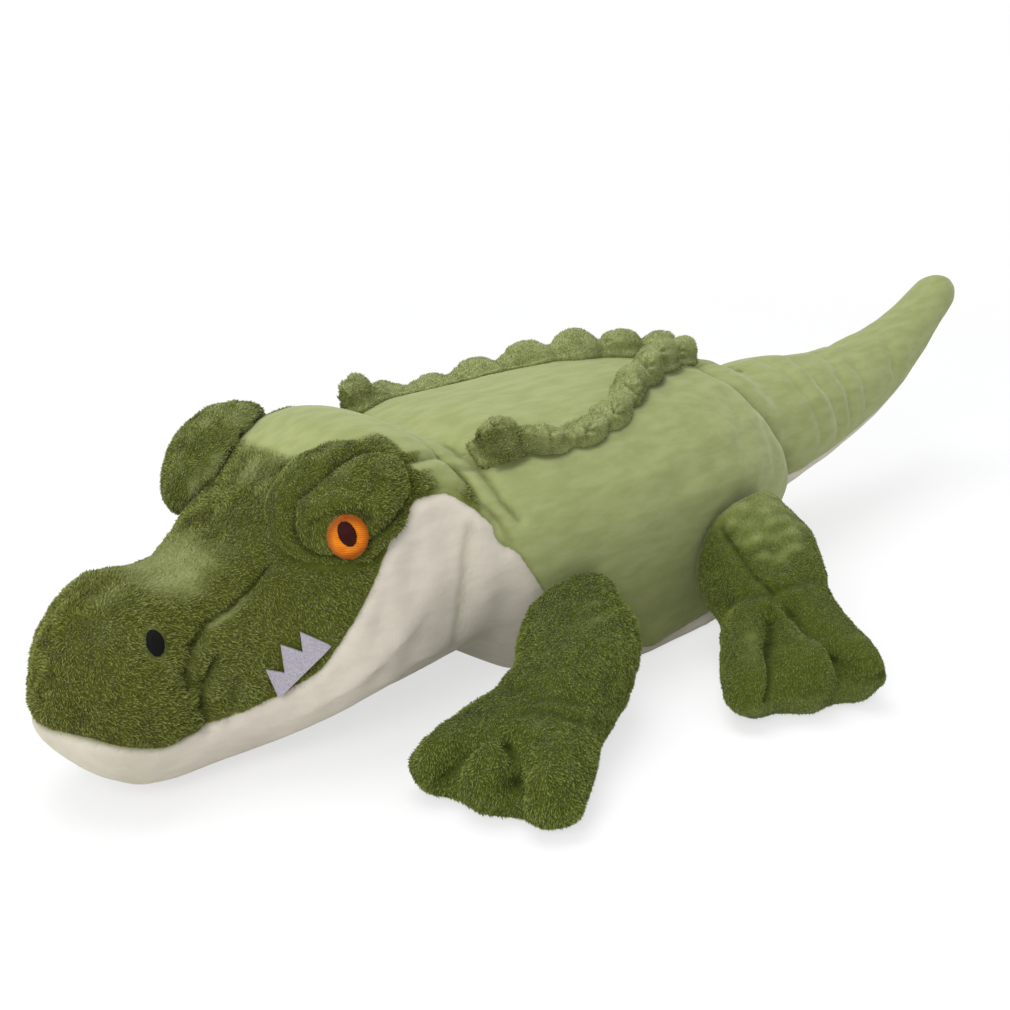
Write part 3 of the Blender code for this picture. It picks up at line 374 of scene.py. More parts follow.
def plush(name, strand):
    """Minky cloth in the dyed greens and the undyed cream, as backing or as standing strands, with
    painted shade in its creases and under its pile and a painted highlight on the strands' tips.
    """
    cloth = Finish(name)
    sage = cloth.attribute("sage")
    cream = cloth.attribute("cream")
    moss = cloth.attribute("moss")
    crease_shade = cloth.attribute("crease_shade")
    patches = cloth.speckle(30, 3)
    tufts = cloth.speckle(380, 3)
    strands = cloth.speckle(900, 2, cloth.place((1, 0.35, 1)))
    brushed = cloth.speckle(230, 4, cloth.place((1, 0.3, 1)))
    pale = (sage + cream).over(0.25, 0.9)
    tone = sage + ((patches - 0.5) * 0.3 + (tufts - 0.5) * 0.25) * (1.0 - pale * 0.75)
    grassy = cloth.mix(moss, linear(118, 121, 46), linear(110, 122, 43))
    dark = cloth.mix(tone.over(-0.5, 0.0), linear(100, 90, 42), grassy)
    light = cloth.mix(brushed.over(0.3, 0.7), linear(139, 147, 95), linear(151, 157, 108))
    green = cloth.mix(tone.over(0, 1), dark, light)
    fine = ((strands - 0.5) * 1.3 + (tufts - 0.5) * 1.2 + 0.3) * (1.0 - pale * 0.8)
    green = cloth.mix(fine.over(0, 1) * 0.4, green, linear(146, 155, 92))
    drift = (patches * 0.5 + brushed * 0.5).over(0.35, 0.65)
    undyed = cloth.mix(drift, linear(206, 198, 185), linear(195, 187, 175))
    edge = (cream + (tufts - 0.5) * 0.3).over(0.42, 0.58)
    colour = cloth.mix(edge, green, undyed)
    # the backing and the roots of the strands are painted darker, most on the deep green: painted shade
    # under the pile
    root = cloth.mix(pale, (0.38, 0.41, 0.28, 1), (0.94, 0.94, 0.92, 1))
    deep = cloth.mix(1.0, colour, root, "MULTIPLY")
    if strand:
        tip = cloth.attribute("tip")
        # each strand is painted dark at the root and lighter towards the tip, painted shade low in the
        # pile, with a painted highlight on the tips
        colour = cloth.mix(tip.over(0, 0.8), deep, colour)
        lit = cloth.mix(pale, linear(168, 174, 114), linear(204, 206, 174))
        own = cloth.attribute("shade")
        bright = tip * own * (1.0 - cream)
        colour = cloth.mix(bright.over(0.25, 0.9) * (0.62 - pale * 0.52), colour, lit)
        shadow = cloth.mix(own.over(0.1, 0.6), (0.5, 0.52, 0.42, 1), (1, 1, 1, 1))
        colour = cloth.mix(1.0 - pale * 0.85, colour, cloth.mix(1.0, colour, shadow, "MULTIPLY"))
    else:
        colour = deep
    # painted shade in the seams, creases and folds
    dark = cloth.mix(1.0, colour, (0.3, 0.31, 0.26, 1), "MULTIPLY")
    colour = cloth.mix(crease_shade.over(0, 1) * (1.0 - edge * 0.55), colour, dark)
    height = (strands * 0.5 + tufts) * (1.0 - pale * 0.8) + brushed * pale * 0.35
    bump = cloth.node("ShaderNodeBump", (), {"Strength": 0.6, "Distance": 0.0012, "Height": height})
    cloth.shade(Base_Color=colour, Roughness=0.95, Normal=bump)
    cloth.shade(Sheen_Weight=0.25, Sheen_Roughness=0.4, Sheen_Tint=(0.86, 0.9, 0.66, 1))
    cloth.shade(Specular_IOR_Level=0.12)
    return cloth.material


skin_cloth = plush("plush_backing", False)
pile_cloth = plush("plush_pile", True)


def pile_tree():
    """Leaning tufts strewn over a skin, each with its own square of the texture."""
    tree = bpy.data.node_groups.new("plush_pile", "GeometryNodeTree")
    sides = tree.interface
    sides.new_socket("Geometry", in_out="INPUT", socket_type="NodeSocketGeometry")
    for name, kind in (
        ("Density", "NodeSocketFloat"),
        ("Length", "NodeSocketFloat"),
        ("Width", "NodeSocketFloat"),
        ("Lean", "NodeSocketFloat"),
        ("Tousle", "NodeSocketFloat"),
        ("Cells", "NodeSocketFloat"),
        ("Seed", "NodeSocketInt"),
        ("Cloth", "NodeSocketMaterial"),
    ):
        sides.new_socket(name, in_out="INPUT", socket_type=kind)
    sides.new_socket("Geometry", in_out="OUTPUT", socket_type="NodeSocketGeometry")
    given = tree.nodes.new("NodeGroupInput").outputs
    ends = tree.nodes.new("NodeGroupOutput")

    def node(kind, settings=(), sockets=(), output=0):
        made = tree.nodes.new(kind)
        for name, value in dict(settings).items():
            setattr(made, name, value)
        for name, value in dict(sockets).items():
            if isinstance(value, bpy.types.NodeSocket):
                tree.links.new(value, made.inputs[name])
            else:
                made.inputs[name].default_value = value
        return made.outputs[output]

    def maths(operation, first, second=0.0):
        return node("ShaderNodeMath", {"operation": operation}, {0: first, 1: second})

    def along(operation, first, second, key=1):
        return node("ShaderNodeVectorMath", {"operation": operation}, {0: first, key: second})

    def carried(name, kind="FLOAT"):
        return node("GeometryNodeInputNamedAttribute", {"data_type": kind}, {"Name": name}, "Attribute")

    def kept(geometry, name, value, kind="FLOAT", domain="POINT"):
        settings = {"data_type": kind, "domain": domain}
        sockets = {"Geometry": geometry, "Name": name, "Value": value}
        return node("GeometryNodeStoreNamedAttribute", settings, sockets)

    dense = maths("MULTIPLY", given["Density"], carried("dense"))
    strewn = tree.nodes.new("GeometryNodeDistributePointsOnFaces")
    for name, value in {"Mesh": given["Geometry"], "Density": dense, "Seed": given["Seed"]}.items():
        tree.links.new(value, strewn.inputs[name])
    numbered = kept(strewn.outputs["Points"], "tuft", node("GeometryNodeInputIndex"))
    own = node("FunctionNodeRandomValue", {"data_type": "FLOAT"}, {2: 0.0, 3: 1.0, "Seed": 23}, 1)
    numbered = kept(numbered, "shade", own)
    spread = {0: (-1, -1, -1), 1: (1, 1, 1), "Seed": given["Seed"]}
    tossed = node("FunctionNodeRandomValue", {"data_type": "FLOAT_VECTOR"}, spread, "Value")
    leaning = along("SCALE", carried("nap", "FLOAT_VECTOR"), given["Lean"], "Scale")
    loose = along("SCALE", tossed, given["Tousle"], "Scale")
    way = along("ADD", along("ADD", strewn.outputs["Normal"], leaning), loose)
    turn = node("FunctionNodeAlignRotationToVector", {"axis": "Z"}, {"Vector": way})
    cone = {"Vertices": 3, "Radius Top": 0.0, "Radius Bottom": given["Width"], "Depth": given["Length"]}
    tuft = node("GeometryNodeMeshCone", {"fill_type": "NONE"}, cone)
    height = node("ShaderNodeSeparateXYZ", (), {0: node("GeometryNodeInputPosition")}, 2)
    tuft = kept(tuft, "tip", maths("DIVIDE", height, given["Length"]))
    spin = node("FunctionNodeRandomValue", {"data_type": "FLOAT"}, {2: 0.0, 3: tau, "Seed": 5}, 1)
    size = node("FunctionNodeRandomValue", {"data_type": "FLOAT"}, {2: 0.65, 3: 1.25, "Seed": 9}, 1)
    size = maths("MULTIPLY", size, carried("long"))
    sockets = {"Points": numbered, "Instance": tuft, "Rotation": turn, "Scale": size}
    placed = node("GeometryNodeInstanceOnPoints", (), sockets)
    about = node("ShaderNodeCombineXYZ", (), {"Z": spin})
    placed = node("GeometryNodeRotateInstances", (), {"Instances": placed, "Rotation": about})
    real = node("GeometryNodeRealizeInstances", (), {"Geometry": placed})
    cell = carried("tuft")
    left = maths("MODULO", cell, given["Cells"])
    row = maths("FLOOR", maths("DIVIDE", cell, given["Cells"]))
    third = maths("MODULO", maths("MODULO", node("GeometryNodeInputIndex"), 6.0), 3.0)
    u = maths("ADD", left, maths("ADD", maths("MULTIPLY", third, 0.35), 0.15))
    v = maths("ADD", row, maths("ADD", maths("MULTIPLY", carried("tip"), 0.7), 0.15))
    flat = {"X": maths("DIVIDE", u, given["Cells"]), "Y": maths("DIVIDE", v, given["Cells"])}
    mapped = kept(real, "OFBake", node("ShaderNodeCombineXYZ", (), flat), "FLOAT2", "CORNER")
    done = node("GeometryNodeSetMaterial", (), {"Geometry": mapped, "Material": given["Cloth"]})
    tree.links.new(done, ends.inputs[0])
    return tree


tufting = pile_tree()


def pile(name, piece, ride, dense, lean=1.2):
    """The standing tufts of one cloth of a skin, as a piece of their own that goes with it."""
    density = 3.0e6
    coat = bpy.data.objects.new(name, piece.data.copy())
    bpy.context.scene.collection.objects.link(coat)
    store(coat, "dense", dense)
    area = sum(p.area for p in coat.data.polygons)
    given = {
        "Density": density,
        "Length": 0.0014,
        "Width": 0.00031,
        "Lean": lean,
        "Tousle": 0.65,
        "Cells": float(int((area * density) ** 0.5) + 2),
        "Seed": 11,
        "Cloth": pile_cloth,
    }
    grown = coat.modifiers.new("pile", "NODES")
    grown.node_group = tufting
    for socket in tufting.interface.items_tree:
        if socket.in_out == "INPUT" and socket.name in given:
            grown[socket.identifier] = given[socket.name]
    apply_modifiers(coat)
    ride(coat)
    return coat


def dress(piece, ride, nodes):
    """A finished skin takes its cloth, its body and the solids that it stands for."""
    piece.data.materials.clear()
    piece.data.materials.append(skin_cloth)
    piece.data.polygons.foreach_set("material_index", [0] * len(piece.data.polygons))
    if not piece.data.has_custom_normals:
        piece.data.shade_smooth()
    ride(piece)
    if nodes:
        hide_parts(*nodes)


def cut_from(piece, name, kept):
    """The faces of a skin whose middles are kept, tucked in and closed at each cut, as a new piece."""
    part = bmesh.new()
    part.from_mesh(piece.data)
    middles = np.array([face.calc_center_median() for face in part.faces])
    inside = kept(middles)
    bmesh.ops.delete(part, geom=[f for f, keep in zip(part.faces, inside) if not keep], context="FACES")
    tuck = 0.1
    rims = [edge for edge in part.edges if edge.is_boundary]
    inner = bmesh.ops.extrude_edge_only(part, edges=rims)["geom"]
    inner = [corner for corner in inner if isinstance(corner, bmesh.types.BMVert)]
    halfway = sum(corner.co.y for corner in inner) / len(inner)
    for ring in ([v for v in inner if v.co.y < halfway], [v for v in inner if v.co.y >= halfway]):
        middle = sum((v.co for v in ring), Vector()) / len(ring)
        for corner in ring:
            corner.co = corner.co.lerp(middle, tuck)
    bmesh.ops.holes_fill(part, edges=[edge for edge in part.edges if edge.is_boundary], sides=0)
    bmesh.ops.recalc_face_normals(part, faces=part.faces)
    mesh = bpy.data.meshes.new(name)
    part.to_mesh(mesh)
    part.free()
    mesh.shade_smooth()
    whole = np.empty(len(mesh.vertices) * 3, np.float32)
    mesh.attributes["whole"].data.foreach_get("vector", whole)
    mesh.normals_split_custom_set_from_vertices(whole.reshape(-1, 3))
    cut = bpy.data.objects.new(name, mesh)
    bpy.context.scene.collection.objects.link(cut)
    return cut


FLOOR_ROOM = 0.0024  # the standing pile keeps this far above the table
OUT_OF_REACH = 9  # a distance at which no seam or fold acts

torso_nodes = ["belly_panel", "flank_left_panel", "flank_right_panel", "back_panel", "torso_stuffing"]
head_nodes = ["head_panel", "jaw_panel", "head_stuffing"]
tail_nodes = ["tail_panel", "tail_underside_panel", "tail_stuffing"]
trunk = cloth_copy("trunk", [*torso_nodes, *head_nodes, *tail_nodes], smooth=3)
points = column(trunk, "co")
from_neck = points[:, 1] + 0.098
from_rump_ring = np.linalg.norm(points - (0, 0.112, 0.055), axis=1) - 0.03
relax_where(trunk, 0.5 * bell(from_neck, 0.016), rounds=60)
relax_where(trunk, 0.5 * bell(from_rump_ring, 0.02), rounds=14)
points = column(trunk, "co")
to_pale = distance_to(["belly_panel", "jaw_panel", "tail_underside_panel"], points)
to_dyed = distance_to(
    ["flank_left_panel", "flank_right_panel", "back_panel", "head_panel", "tail_panel"], points
)
pale_side = evened(trunk, (to_dyed - to_pale)[:, None], weight=0.6, rounds=8)[:, 0]
store(trunk, "cream", 0.5 + np.clip(pale_side / 0.004, -0.5, 0.5))
off_floor = step(points[:, 2], 0.003, 0.02)
lumps = ripple(points, 24, 2.0) * 0.0011 + ripple(points, 60, 9.0) * 0.0005
move_to(trunk, points + column(trunk, "normal") * (lumps * off_floor)[:, None])
pull_in(trunk, np.abs(pale_side), width=0.0022, depth=0.0012, shade=0.45)

# seams between the panels of the back, and where the cloth folds round the neck and the rump
to_strip = distance_to(["back_panel"], points)
to_flank = distance_to(["flank_left_panel", "flank_right_panel"], points)
back_seam = np.abs(to_strip - to_flank) + OUT_OF_REACH * step(to_strip, 0.004, 0.006)
pull_in(trunk, back_seam, width=0.0022, depth=0.001, shade=0.5)
neck_folds = [
    [(20, -104, 103), (34, -102, 101), (44, -100, 94), (51, -99, 87), (54, -94, 79), (55, -90, 70)],
    [(24, -92, 101), (31, -91, 99), (44, -91, 93), (52, -90, 85), (57, -86, 78)],
]
pull_in(trunk, distance_to_lines(neck_folds, points), width=0.0028, depth=0.0018, shade=0.6)
throat_seam = [[(53, -107, 79), (55, -111, 69), (55, -113, 58), (53, -113, 46), (50, -113, 37)]]
pull_in(trunk, distance_to_lines(throat_seam, points), width=0.0022, depth=0.0008, shade=0.12)
brow_seam = [[(38, -122, 103), (37, -113, 103), (35, -105, 102), (33, -97, 101), (31, -90, 100)]]
pull_in(trunk, distance_to_lines(brow_seam, points), width=0.0022, depth=0.0014, shade=0.8)
tail_folds = [
    [(8, 70, 100), (21, 74, 96), (28, 81, 90), (34, 87, 82), (37, 94, 73)]
    + [(37, 101, 64), (33, 111, 52), (29, 117, 43)],
]
pull_in(trunk, distance_to_lines(tail_folds, points), width=0.008, depth=0.0034, shade=0.35)
pull_in(trunk, distance_to_lines(tail_folds, points), width=0.0022, depth=0.0012, shade=0.8)
wrinkles = [
    [(9, 147, 88), (22, 147, 79), (27, 154, 65), (26, 159, 54)],
    [(-1, 176, 86), (18, 169, 78), (24, 170, 65), (25, 172, 58)],
    [(-12, 205, 82), (13, 187, 78), (20, 188, 66), (21, 189, 61)],
    [(0, 232, 84), (5, 226, 82), (13, 222, 72)],
    [(4, 128, 90), (20, 128, 84), (30, 134, 70), (31, 139, 58)],
]
pull_in(trunk, distance_to_lines(wrinkles, points, False), width=0.0042, depth=0.0017, shade=0.16)
creases = [[(38, 56, 92), (50, 49, 83), (58, 48, 71)], [(34, 78, 87), (44, 76, 75), (49, 77, 61)]]
pull_in(trunk, distance_to_lines(creases, points), width=0.005, depth=0.0009, shade=0.08)

# the folds and the hand stitched seams of the muzzle
muzzle = [
    [(34, -173, 83), (27, -177, 76), (26, -185, 69), (26, -192, 65), (25, -200, 62), (27, -205, 57)],
    [(27, -205, 57), (29, -209, 52), (29, -210, 49), (30, -211, 43)],
    [(30, -200, 50), (30, -203, 45), (31, -206, 39), (31, -205, 32), (31, -204, 26)],
]
far = distance_to_lines(muzzle, points)
pull_in(trunk, far, width=0.0055, depth=0.0010, shade=0.1)
pull_in(trunk, far, width=0.0021, depth=0.0018, shade=1.0)
bridge = [[(24, -189, 70), (20, -194, 71), (12, -198, 74), (2, -204, 76)]]
pull_in(trunk, distance_to_lines(bridge, points), width=0.0065, depth=0.0008, shade=0.1)
puckers = [
    [(30, -208, 44), (34, -200, 42)],
    [(31, -207, 35), (35, -199, 34)],
    [(32, -194, 42), (32, -196, 33), (31, -196, 26)],
    [(29, -210, 48), (26, -216, 45)],
    [(30, -208, 36), (28, -215, 33)],
    [(27, -206, 57), (24, -213, 56)],
]
pull_in(trunk, distance_to_lines(puckers, points), width=0.0024, depth=0.0013, shade=0.5)
nose_sides = [[(5, -225, 76), (6, -232, 73), (8, -236, 69), (10, -239, 64)]]
pull_in(trunk, distance_to_lines(nose_sides, points), width=0.005, depth=0.0012, shade=0.25)
nose_seam = [[(-13, -245, 46), (2, -248, 51), (10, -245, 52)]]
pull_in(trunk, distance_to_lines(nose_seam, points, False), width=0.0016, depth=0.0008, shade=0.6)
brows = distance_to(["brow_left", "brow_right"], points)
pull_in(trunk, brows, width=0.0026, depth=0.0006, shade=0.5)
nostrils = distance_to(["nostril_left", "nostril_right"], points)
pull_in(trunk, nostrils, width=0.004, depth=0.0004)

# a fuller forehead beside the brows, and a jaw that rises from the table behind the chin
temples = distance_to_lines([[(34, -184, 84), (38, -174, 90)]], points)
pull_in(trunk, temples, width=0.012, depth=-0.0024)
jaw = step(points[:, 1], -0.215, -0.19) * (1 - step(points[:, 1], -0.135, -0.11))
jaw *= step(-column(trunk, "normal")[:, 2], 0.1, 0.6)
move_to(trunk, column(trunk, "co") + jaw[:, None] * (0, 0, 0.0018))

ridges = distance_to(["ridge_left", "ridge_right"], points)
pull_in(trunk, ridges, width=0.0026, depth=-0.0006, shade=0.9)

# the dye and the painted light: sage on the back, the crown and the tail, deep green on the muzzle and
# the cheeks, painted paler wherever the cloth faces up, as painted light from above
points, up = column(trunk, "co"), column(trunk, "normal")[:, 2]
crown = step(points[:, 1], -0.19, -0.162) * step(points[:, 2], 0.084, 0.102) * step(up, 0.55, 0.9)
crown *= 1 - step(np.abs(points[:, 0]), 0.018, 0.034) * step(-points[:, 1], 0.12, 0.126)
nape = step(points[:, 1], -0.126, -0.112) * step(points[:, 2], 0.075, 0.098)
nape = np.maximum(nape * 0.75, step(points[:, 1], -0.106, -0.096))
saddle = step(points[:, 1], -0.222, -0.205) * (1 - step(points[:, 1], -0.192, -0.18))
# the top of the muzzle is painted paler where it faces up: painted light from above
muzzle_top = (0.3 + 0.3 * saddle) * step(up, 0.5, 0.95)
sage = np.maximum(np.maximum(crown, nape), 0.10 + muzzle_top)
sage -= 0.28 * nape * step(-points[:, 2], -0.075, -0.02)
collar = distance_to_lines(throat_seam, points)
# darker along the neck folds, as painted shade in the folds, and in a wider band along the throat seam
sage -= 0.3 * bell(distance_to_lines(neck_folds, points), 0.0028) + 0.45 * bell(collar, 0.006)
sage += 0.35 * bell(nostrils - 0.0012, 0.0012)
snout_side = distance_to_lines([[(30, -216, 50), (31, -210, 44), (32, -198, 38)]], points)
sage += 0.24 * bell(snout_side, 0.010)
sage -= 0.4 * step(-points[:, 1], 0.195, 0.23) * (1 - step(points[:, 2], 0.022, 0.06))
smooth = step(sage, 0.3, 0.8)
# the crests of the lifted clumps are painted paler and their hollows darker: painted light and painted
# shade
sage += 0.4 * clump(trunk, (1 - smooth) * (1 - step(pale_side, -0.001, 0.002)), 7.0)
store(trunk, "velvet", step(np.maximum(crown, nape) - 0.3 * bell(collar, 0.004), 0.45, 0.7))
store(trunk, "sage", sage)
store(trunk, "moss", 0.25 * step(points[:, 1], -0.2, -0.16))
seams = np.minimum(np.abs(pale_side), back_seam)
long = (1.0 - 0.5 * smooth) * (1 - 0.4 * step(pale_side, 0, 0.003))
long *= 1 - 0.6 * np.clip(stored(trunk, "crease_shade"), 0, 1)
store(trunk, "long", long * (1 - 0.5 * bell(seams, 0.002)))
trims = ["teeth", "nostril", "ridge", "brow"]
bare = distance_to([f"{trim}_{side}" for trim in trims for side in ("left", "right")], points)
legs = [f"{leg}_{side}_panel" for leg in ("foreleg", "hindleg") for side in ("left", "right")]
hidden = (distance_to(legs, points) < 0.0012) | (bare < 0.0016) | (points[:, 2] < FLOOR_ROOM)
lay(trunk, (0, 0.85, -0.55), 0.75 - 0.6 * np.maximum(smooth, step(pale_side, 0, 0.003)))


def on_head(piece):
    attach(piece, "head")


def on_torso(piece):
    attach(piece, "torso")


def on_tail(piece):
    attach(piece, "tail")


# where the neck and the rump begin and end, along the body
NECK_FRONT, NECK_BACK = -0.118, -0.078
RUMP_FRONT, RUMP_BACK = 0.086, 0.132


def over_neck(piece):
    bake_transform(piece)


def over_rump(piece):
    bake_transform(piece)


store(trunk, "bare", hidden)
store(trunk, "whole", column(trunk, "normal"), "FLOAT_VECTOR")
for name, ride, nodes, low, high, slot in (
    ("head", on_head, head_nodes, -1, NECK_FRONT, "green_plush"),
    ("neck", over_neck, [], NECK_FRONT, NECK_BACK, "sage_plush"),
    ("torso", on_torso, torso_nodes, NECK_BACK, RUMP_FRONT, "sage_plush"),
    ("rump", over_rump, [], RUMP_FRONT, RUMP_BACK, "sage_plush"),
    ("tail", on_tail, tail_nodes, RUMP_BACK, 1, "sage_plush"),
):
    skin = cut_from(trunk, f"{name}_skin", lambda middle: (middle[:, 1] > low) & (middle[:, 1] <= high))
    deep = (1 - stored(skin, "bare")) * (1 - stored(skin, "velvet"))
    deep *= step(-stored(skin, "cream"), -0.6, -0.45)
    if deep.max() > 0.5:
        pile(f"{name}_pile", skin, ride, deep)
    dress(skin, ride, nodes)
old = trunk.data
bpy.data.objects.remove(trunk)
bpy.data.meshes.remove(old)


# ---------------------------------------------------------------------------------------------
# The two ridges on the back. Narrow tubes of the same cloth, gathered by hand stitches into a
# row of soft knobs with a pucker in each, and sewn down along the seams beside the back.

KNOBS = 8
KNOB_PITCH = 0.019

for side_name, out in (("left", 1), ("right", -1)):
    node = f"ridge_{side_name}"
    side_flank = f"flank_{side_name}_panel"
    ridge = cloth_copy(f"{node}_tube", [node], voxel=0.0015, smooth=3)
    points = column(ridge, "co")
    first, last = points[:, 1].min(), points[:, 1].max()
    knob = (points[:, 1] - first) / (last - first) * KNOBS
    free = step(distance_to(["back_panel", side_flank], points), 0.001, 0.004)
    round_top = np.abs(np.sin(tau / 2 * knob)) ** 0.8
    fuller = (0.0010, 0.0004, 0.0004, 0.0009, 0.0013, 0.0009, 0.0006, 0.0005)
    grown = np.interp(knob, np.arange(KNOBS) + 0.5, fuller)
    swell = (grown * round_top + 0.0012 * (1 - round_top)) * free
    swell -= 0.0014 * free * (1 - np.abs(column(ridge, "normal")[:, 2])) - 0.0006 * (1 - free)
    swell -= 0.0022 * (1 - step(knob, 0.0, 0.5)) * free
    normals = column(ridge, "normal")
    front = (1 - step(knob, 0.0, 1.0))[:, None] * np.array((-0.002 * out, -0.0045, -0.0005))
    low = free * step(knob, 0.9, 1.6) * (1 - step(knob, 4.2, 5.6))
    inward = (-0.002 * out, 0, 0.0005) - low[:, None] * (0, 0, 0.0028)
    move_to(ridge, points + normals * (swell + 0.0006)[:, None] + front + inward)
    points = column(ridge, "co")
    from_valley = np.minimum(knob % 1, 1 - knob % 1) * KNOB_PITCH
    inner = (knob > 0.6) & (knob < KNOBS - 0.6)
    # painted shade in the valleys between the knobs
    store(ridge, "crease_shade", 0.35 * bell(np.where(inner, from_valley, OUT_OF_REACH), 0.0018))
    facing = np.array((0.62 * out, -0.6, 0.5))
    for k in range(KNOBS):
        here = np.flatnonzero(np.abs(knob - k - 0.5) < 0.3)
        pucker = points[here][np.argmax((points[here] - points[here].mean(axis=0)) @ facing)]
        off = points[here] - pucker
        far = np.linalg.norm(off, axis=1)
        round_it = np.arctan2(off @ np.cross(facing, (0, 0, 1.0)), off[:, 2])
        folds = np.cos(6 * round_it + k) * bell(far - 0.0034, 0.0022)
        points[here] -= normals[here] * (0.0024 * bell(far, 0.0019) - 0.0006 * folds)[:, None]
        move_to(ridge, points)
        # painted shade in each pucker and between its folds
        shade = stored(ridge, "crease_shade")
        shade[here] = np.maximum(shade[here], 0.8 * bell(far, 0.0014) + 0.3 * np.maximum(-folds, 0))
        store(ridge, "crease_shade", shade)
    count = len(points)
    store(ridge, "cream", np.zeros(count))
    tall = 1 - step(knob, 0.8, 1.1)
    # painted paler where the tube faces up, as painted light from above, and the first knob darker; the
    # clumps' crests are painted paler and their hollows darker, as painted light and shade
    sage = 0.64 + 0.3 * step(column(ridge, "normal")[:, 2], 0, 0.9) - 0.14 * tall
    store(ridge, "sage", sage + 0.3 * clump(ridge, 0.6, 4.0))
    store(ridge, "long", 0.6 + 0.25 * tall)
    lay(ridge, (0, 0.6, 0.4), 1.0)
    pile(f"{node}_pile", ridge, on_torso, np.ones(count), lean=0.9)
    dress(ridge, on_torso, [node])


# ---------------------------------------------------------------------------------------------
# The brows. Two stuffed mounds of the deep green plush, cut as ovals, gathered over wadding and
# sewn on top of the head, where their front edge folds over the eye as a lid.

lid = [[(42, -170, 89), (43, -168, 94), (48, -163, 97), (51, -156, 97), (53, -152, 93)]]
roll = [[(40, -170, 94), (43, -167, 98), (48, -161, 101), (52, -153, 99), (54, -148, 95)]]
ring = [
    [(36, -173, 90), (35, -172, 95), (34, -169, 101), (37, -165, 104), (39, -156, 110), (38, -147, 113)],
    [(38, -147, 113), (35, -134, 111), (37, -123, 105), (43, -124, 99), (51, -132, 94), (54, -141, 90)],
    [(54, -141, 90), (53, -151, 85), (49, -160, 80), (43, -167, 80), (39, -172, 84), (36, -173, 90)],
]
for side_name in ("left", "right"):
    node = f"brow_{side_name}"
    brow = cloth_copy(f"{node}_mound", [node], voxel=0.0020, smooth=5)
    points = column(brow, "co")
    pull_in(brow, distance_to_lines(roll, points), width=0.0032, depth=-0.0024)
    pull_in(brow, distance_to_lines(lid, points), width=0.0020, depth=0.0014, shade=0.6)
    if side_name == "right":
        move_to(brow, points + column(brow, "normal") * 0.0018)
    to_ring = distance_to_lines(ring, points)
    if side_name == "right":
        to_ring += OUT_OF_REACH * step(-points[:, 1], 0.165, 0.170)
    pull_in(brow, to_ring, width=0.0032, depth=0.0030, shade=0.8)
    clumps = clump(brow, 0.9, 12.0)
    count = len(points)
    store(brow, "cream", np.zeros(count))
    facing = column(brow, "normal")
    inward = step(-facing[:, 0] * (1 if side_name == "left" else -1), 0.1, 0.7)
    # painted paler on top, as painted light from above, and on the inner side; the clumps' crests are
    # painted paler and their hollows darker, as painted light and shade
    sage = 0.36 * np.maximum(step(facing[:, 2], 0.45, 1.0), inward) + 0.4 * clumps
    store(brow, "sage", sage + (0.16 if side_name == "right" else 0))
    store(brow, "moss", np.full(count, 0.35))
    store(brow, "long", np.full(count, 0.85))
    lay(brow, (0, 0.5, -0.5), 1.0)
    to_eye = distance_to([f"eye_{side_name}"], points)
    pile(f"{node}_pile", brow, on_head, (to_eye > 0.0004) * 1.0)
    dress(brow, on_head, [node])


# ---------------------------------------------------------------------------------------------
# The eyes and nostrils. Flat satin stitch in rayon thread, orange round a dark pupil, laid down
# side by side over a felt pad that lifts it from the pile. The nostrils are the same in black.


def satin(name, pale, deep, rim, gloss):
    """Bright thread in close rows, which turn darker towards the back of the eye."""
    thread = Finish(name)
    spin = {"Vector": thread.place(), "Rotation": (0.3, 0.5, 0.2)}
    turned = thread.node("ShaderNodeMapping", (), spin)
    rows = thread.node(
        "ShaderNodeTexWave",
        {"wave_type": "BANDS", "bands_direction": "Z"},
        {"Vector": turned, "Scale": 520, "Distortion": 1.5, "Detail": 1.0, "Detail Scale": 2.0},
    )
    cloudy = thread.speckle(260, 2)
    corners = column(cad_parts["eye_left"], "co")
    middle = np.abs(corners.min(axis=0) + corners.max(axis=0)) / 2
    near = thread.node("ShaderNodeVectorMath", {"operation": "ABSOLUTE"}, {0: thread.place()})
    ends = {0: near, 1: tuple(middle)}
    off = thread.node("ShaderNodeVectorMath", {"operation": "DISTANCE"}, ends, "Value")
    colour = thread.mix((rows * 0.25 + cloudy * 0.75).over(0.25, 0.75), deep, pale)
    shaded = (off + (cloudy - 0.5) * 0.002).over(0.0045, 0.0072)
    colour = thread.mix(shaded * 0.75, colour, rim)
    height = {"Strength": 0.35, "Distance": 0.0003, "Height": rows}
    bump = thread.node("ShaderNodeBump", (), height)
    thread.shade(Base_Color=colour, Roughness=gloss, Normal=bump, Specular_IOR_Level=0.15)
    return thread.material


brown, dark_red, soot = linear(104, 46, 12), linear(36, 8, 5), linear(8, 8, 8)
orange = satin("orange_satin_stitch", linear(226, 132, 22), linear(188, 92, 8), brown, 0.55)
maroon = satin("dark_satin_stitch", linear(58, 14, 8), dark_red, dark_red, 0.8)
black = satin("black_satin_stitch", linear(18, 18, 16), soot, soot, 0.8)
for side_name in ("left", "right"):
    for part, thread in (("eye", orange), ("pupil", maroon), ("nostril", black)):
        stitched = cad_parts[f"{part}_{side_name}"].data
        stitched.materials.clear()
        stitched.materials.append(thread)


# ---------------------------------------------------------------------------------------------
# The teeth. A short strip of silver cloth with glitter in it, cut in three points and caught
# in the seam of the mouth on each side.

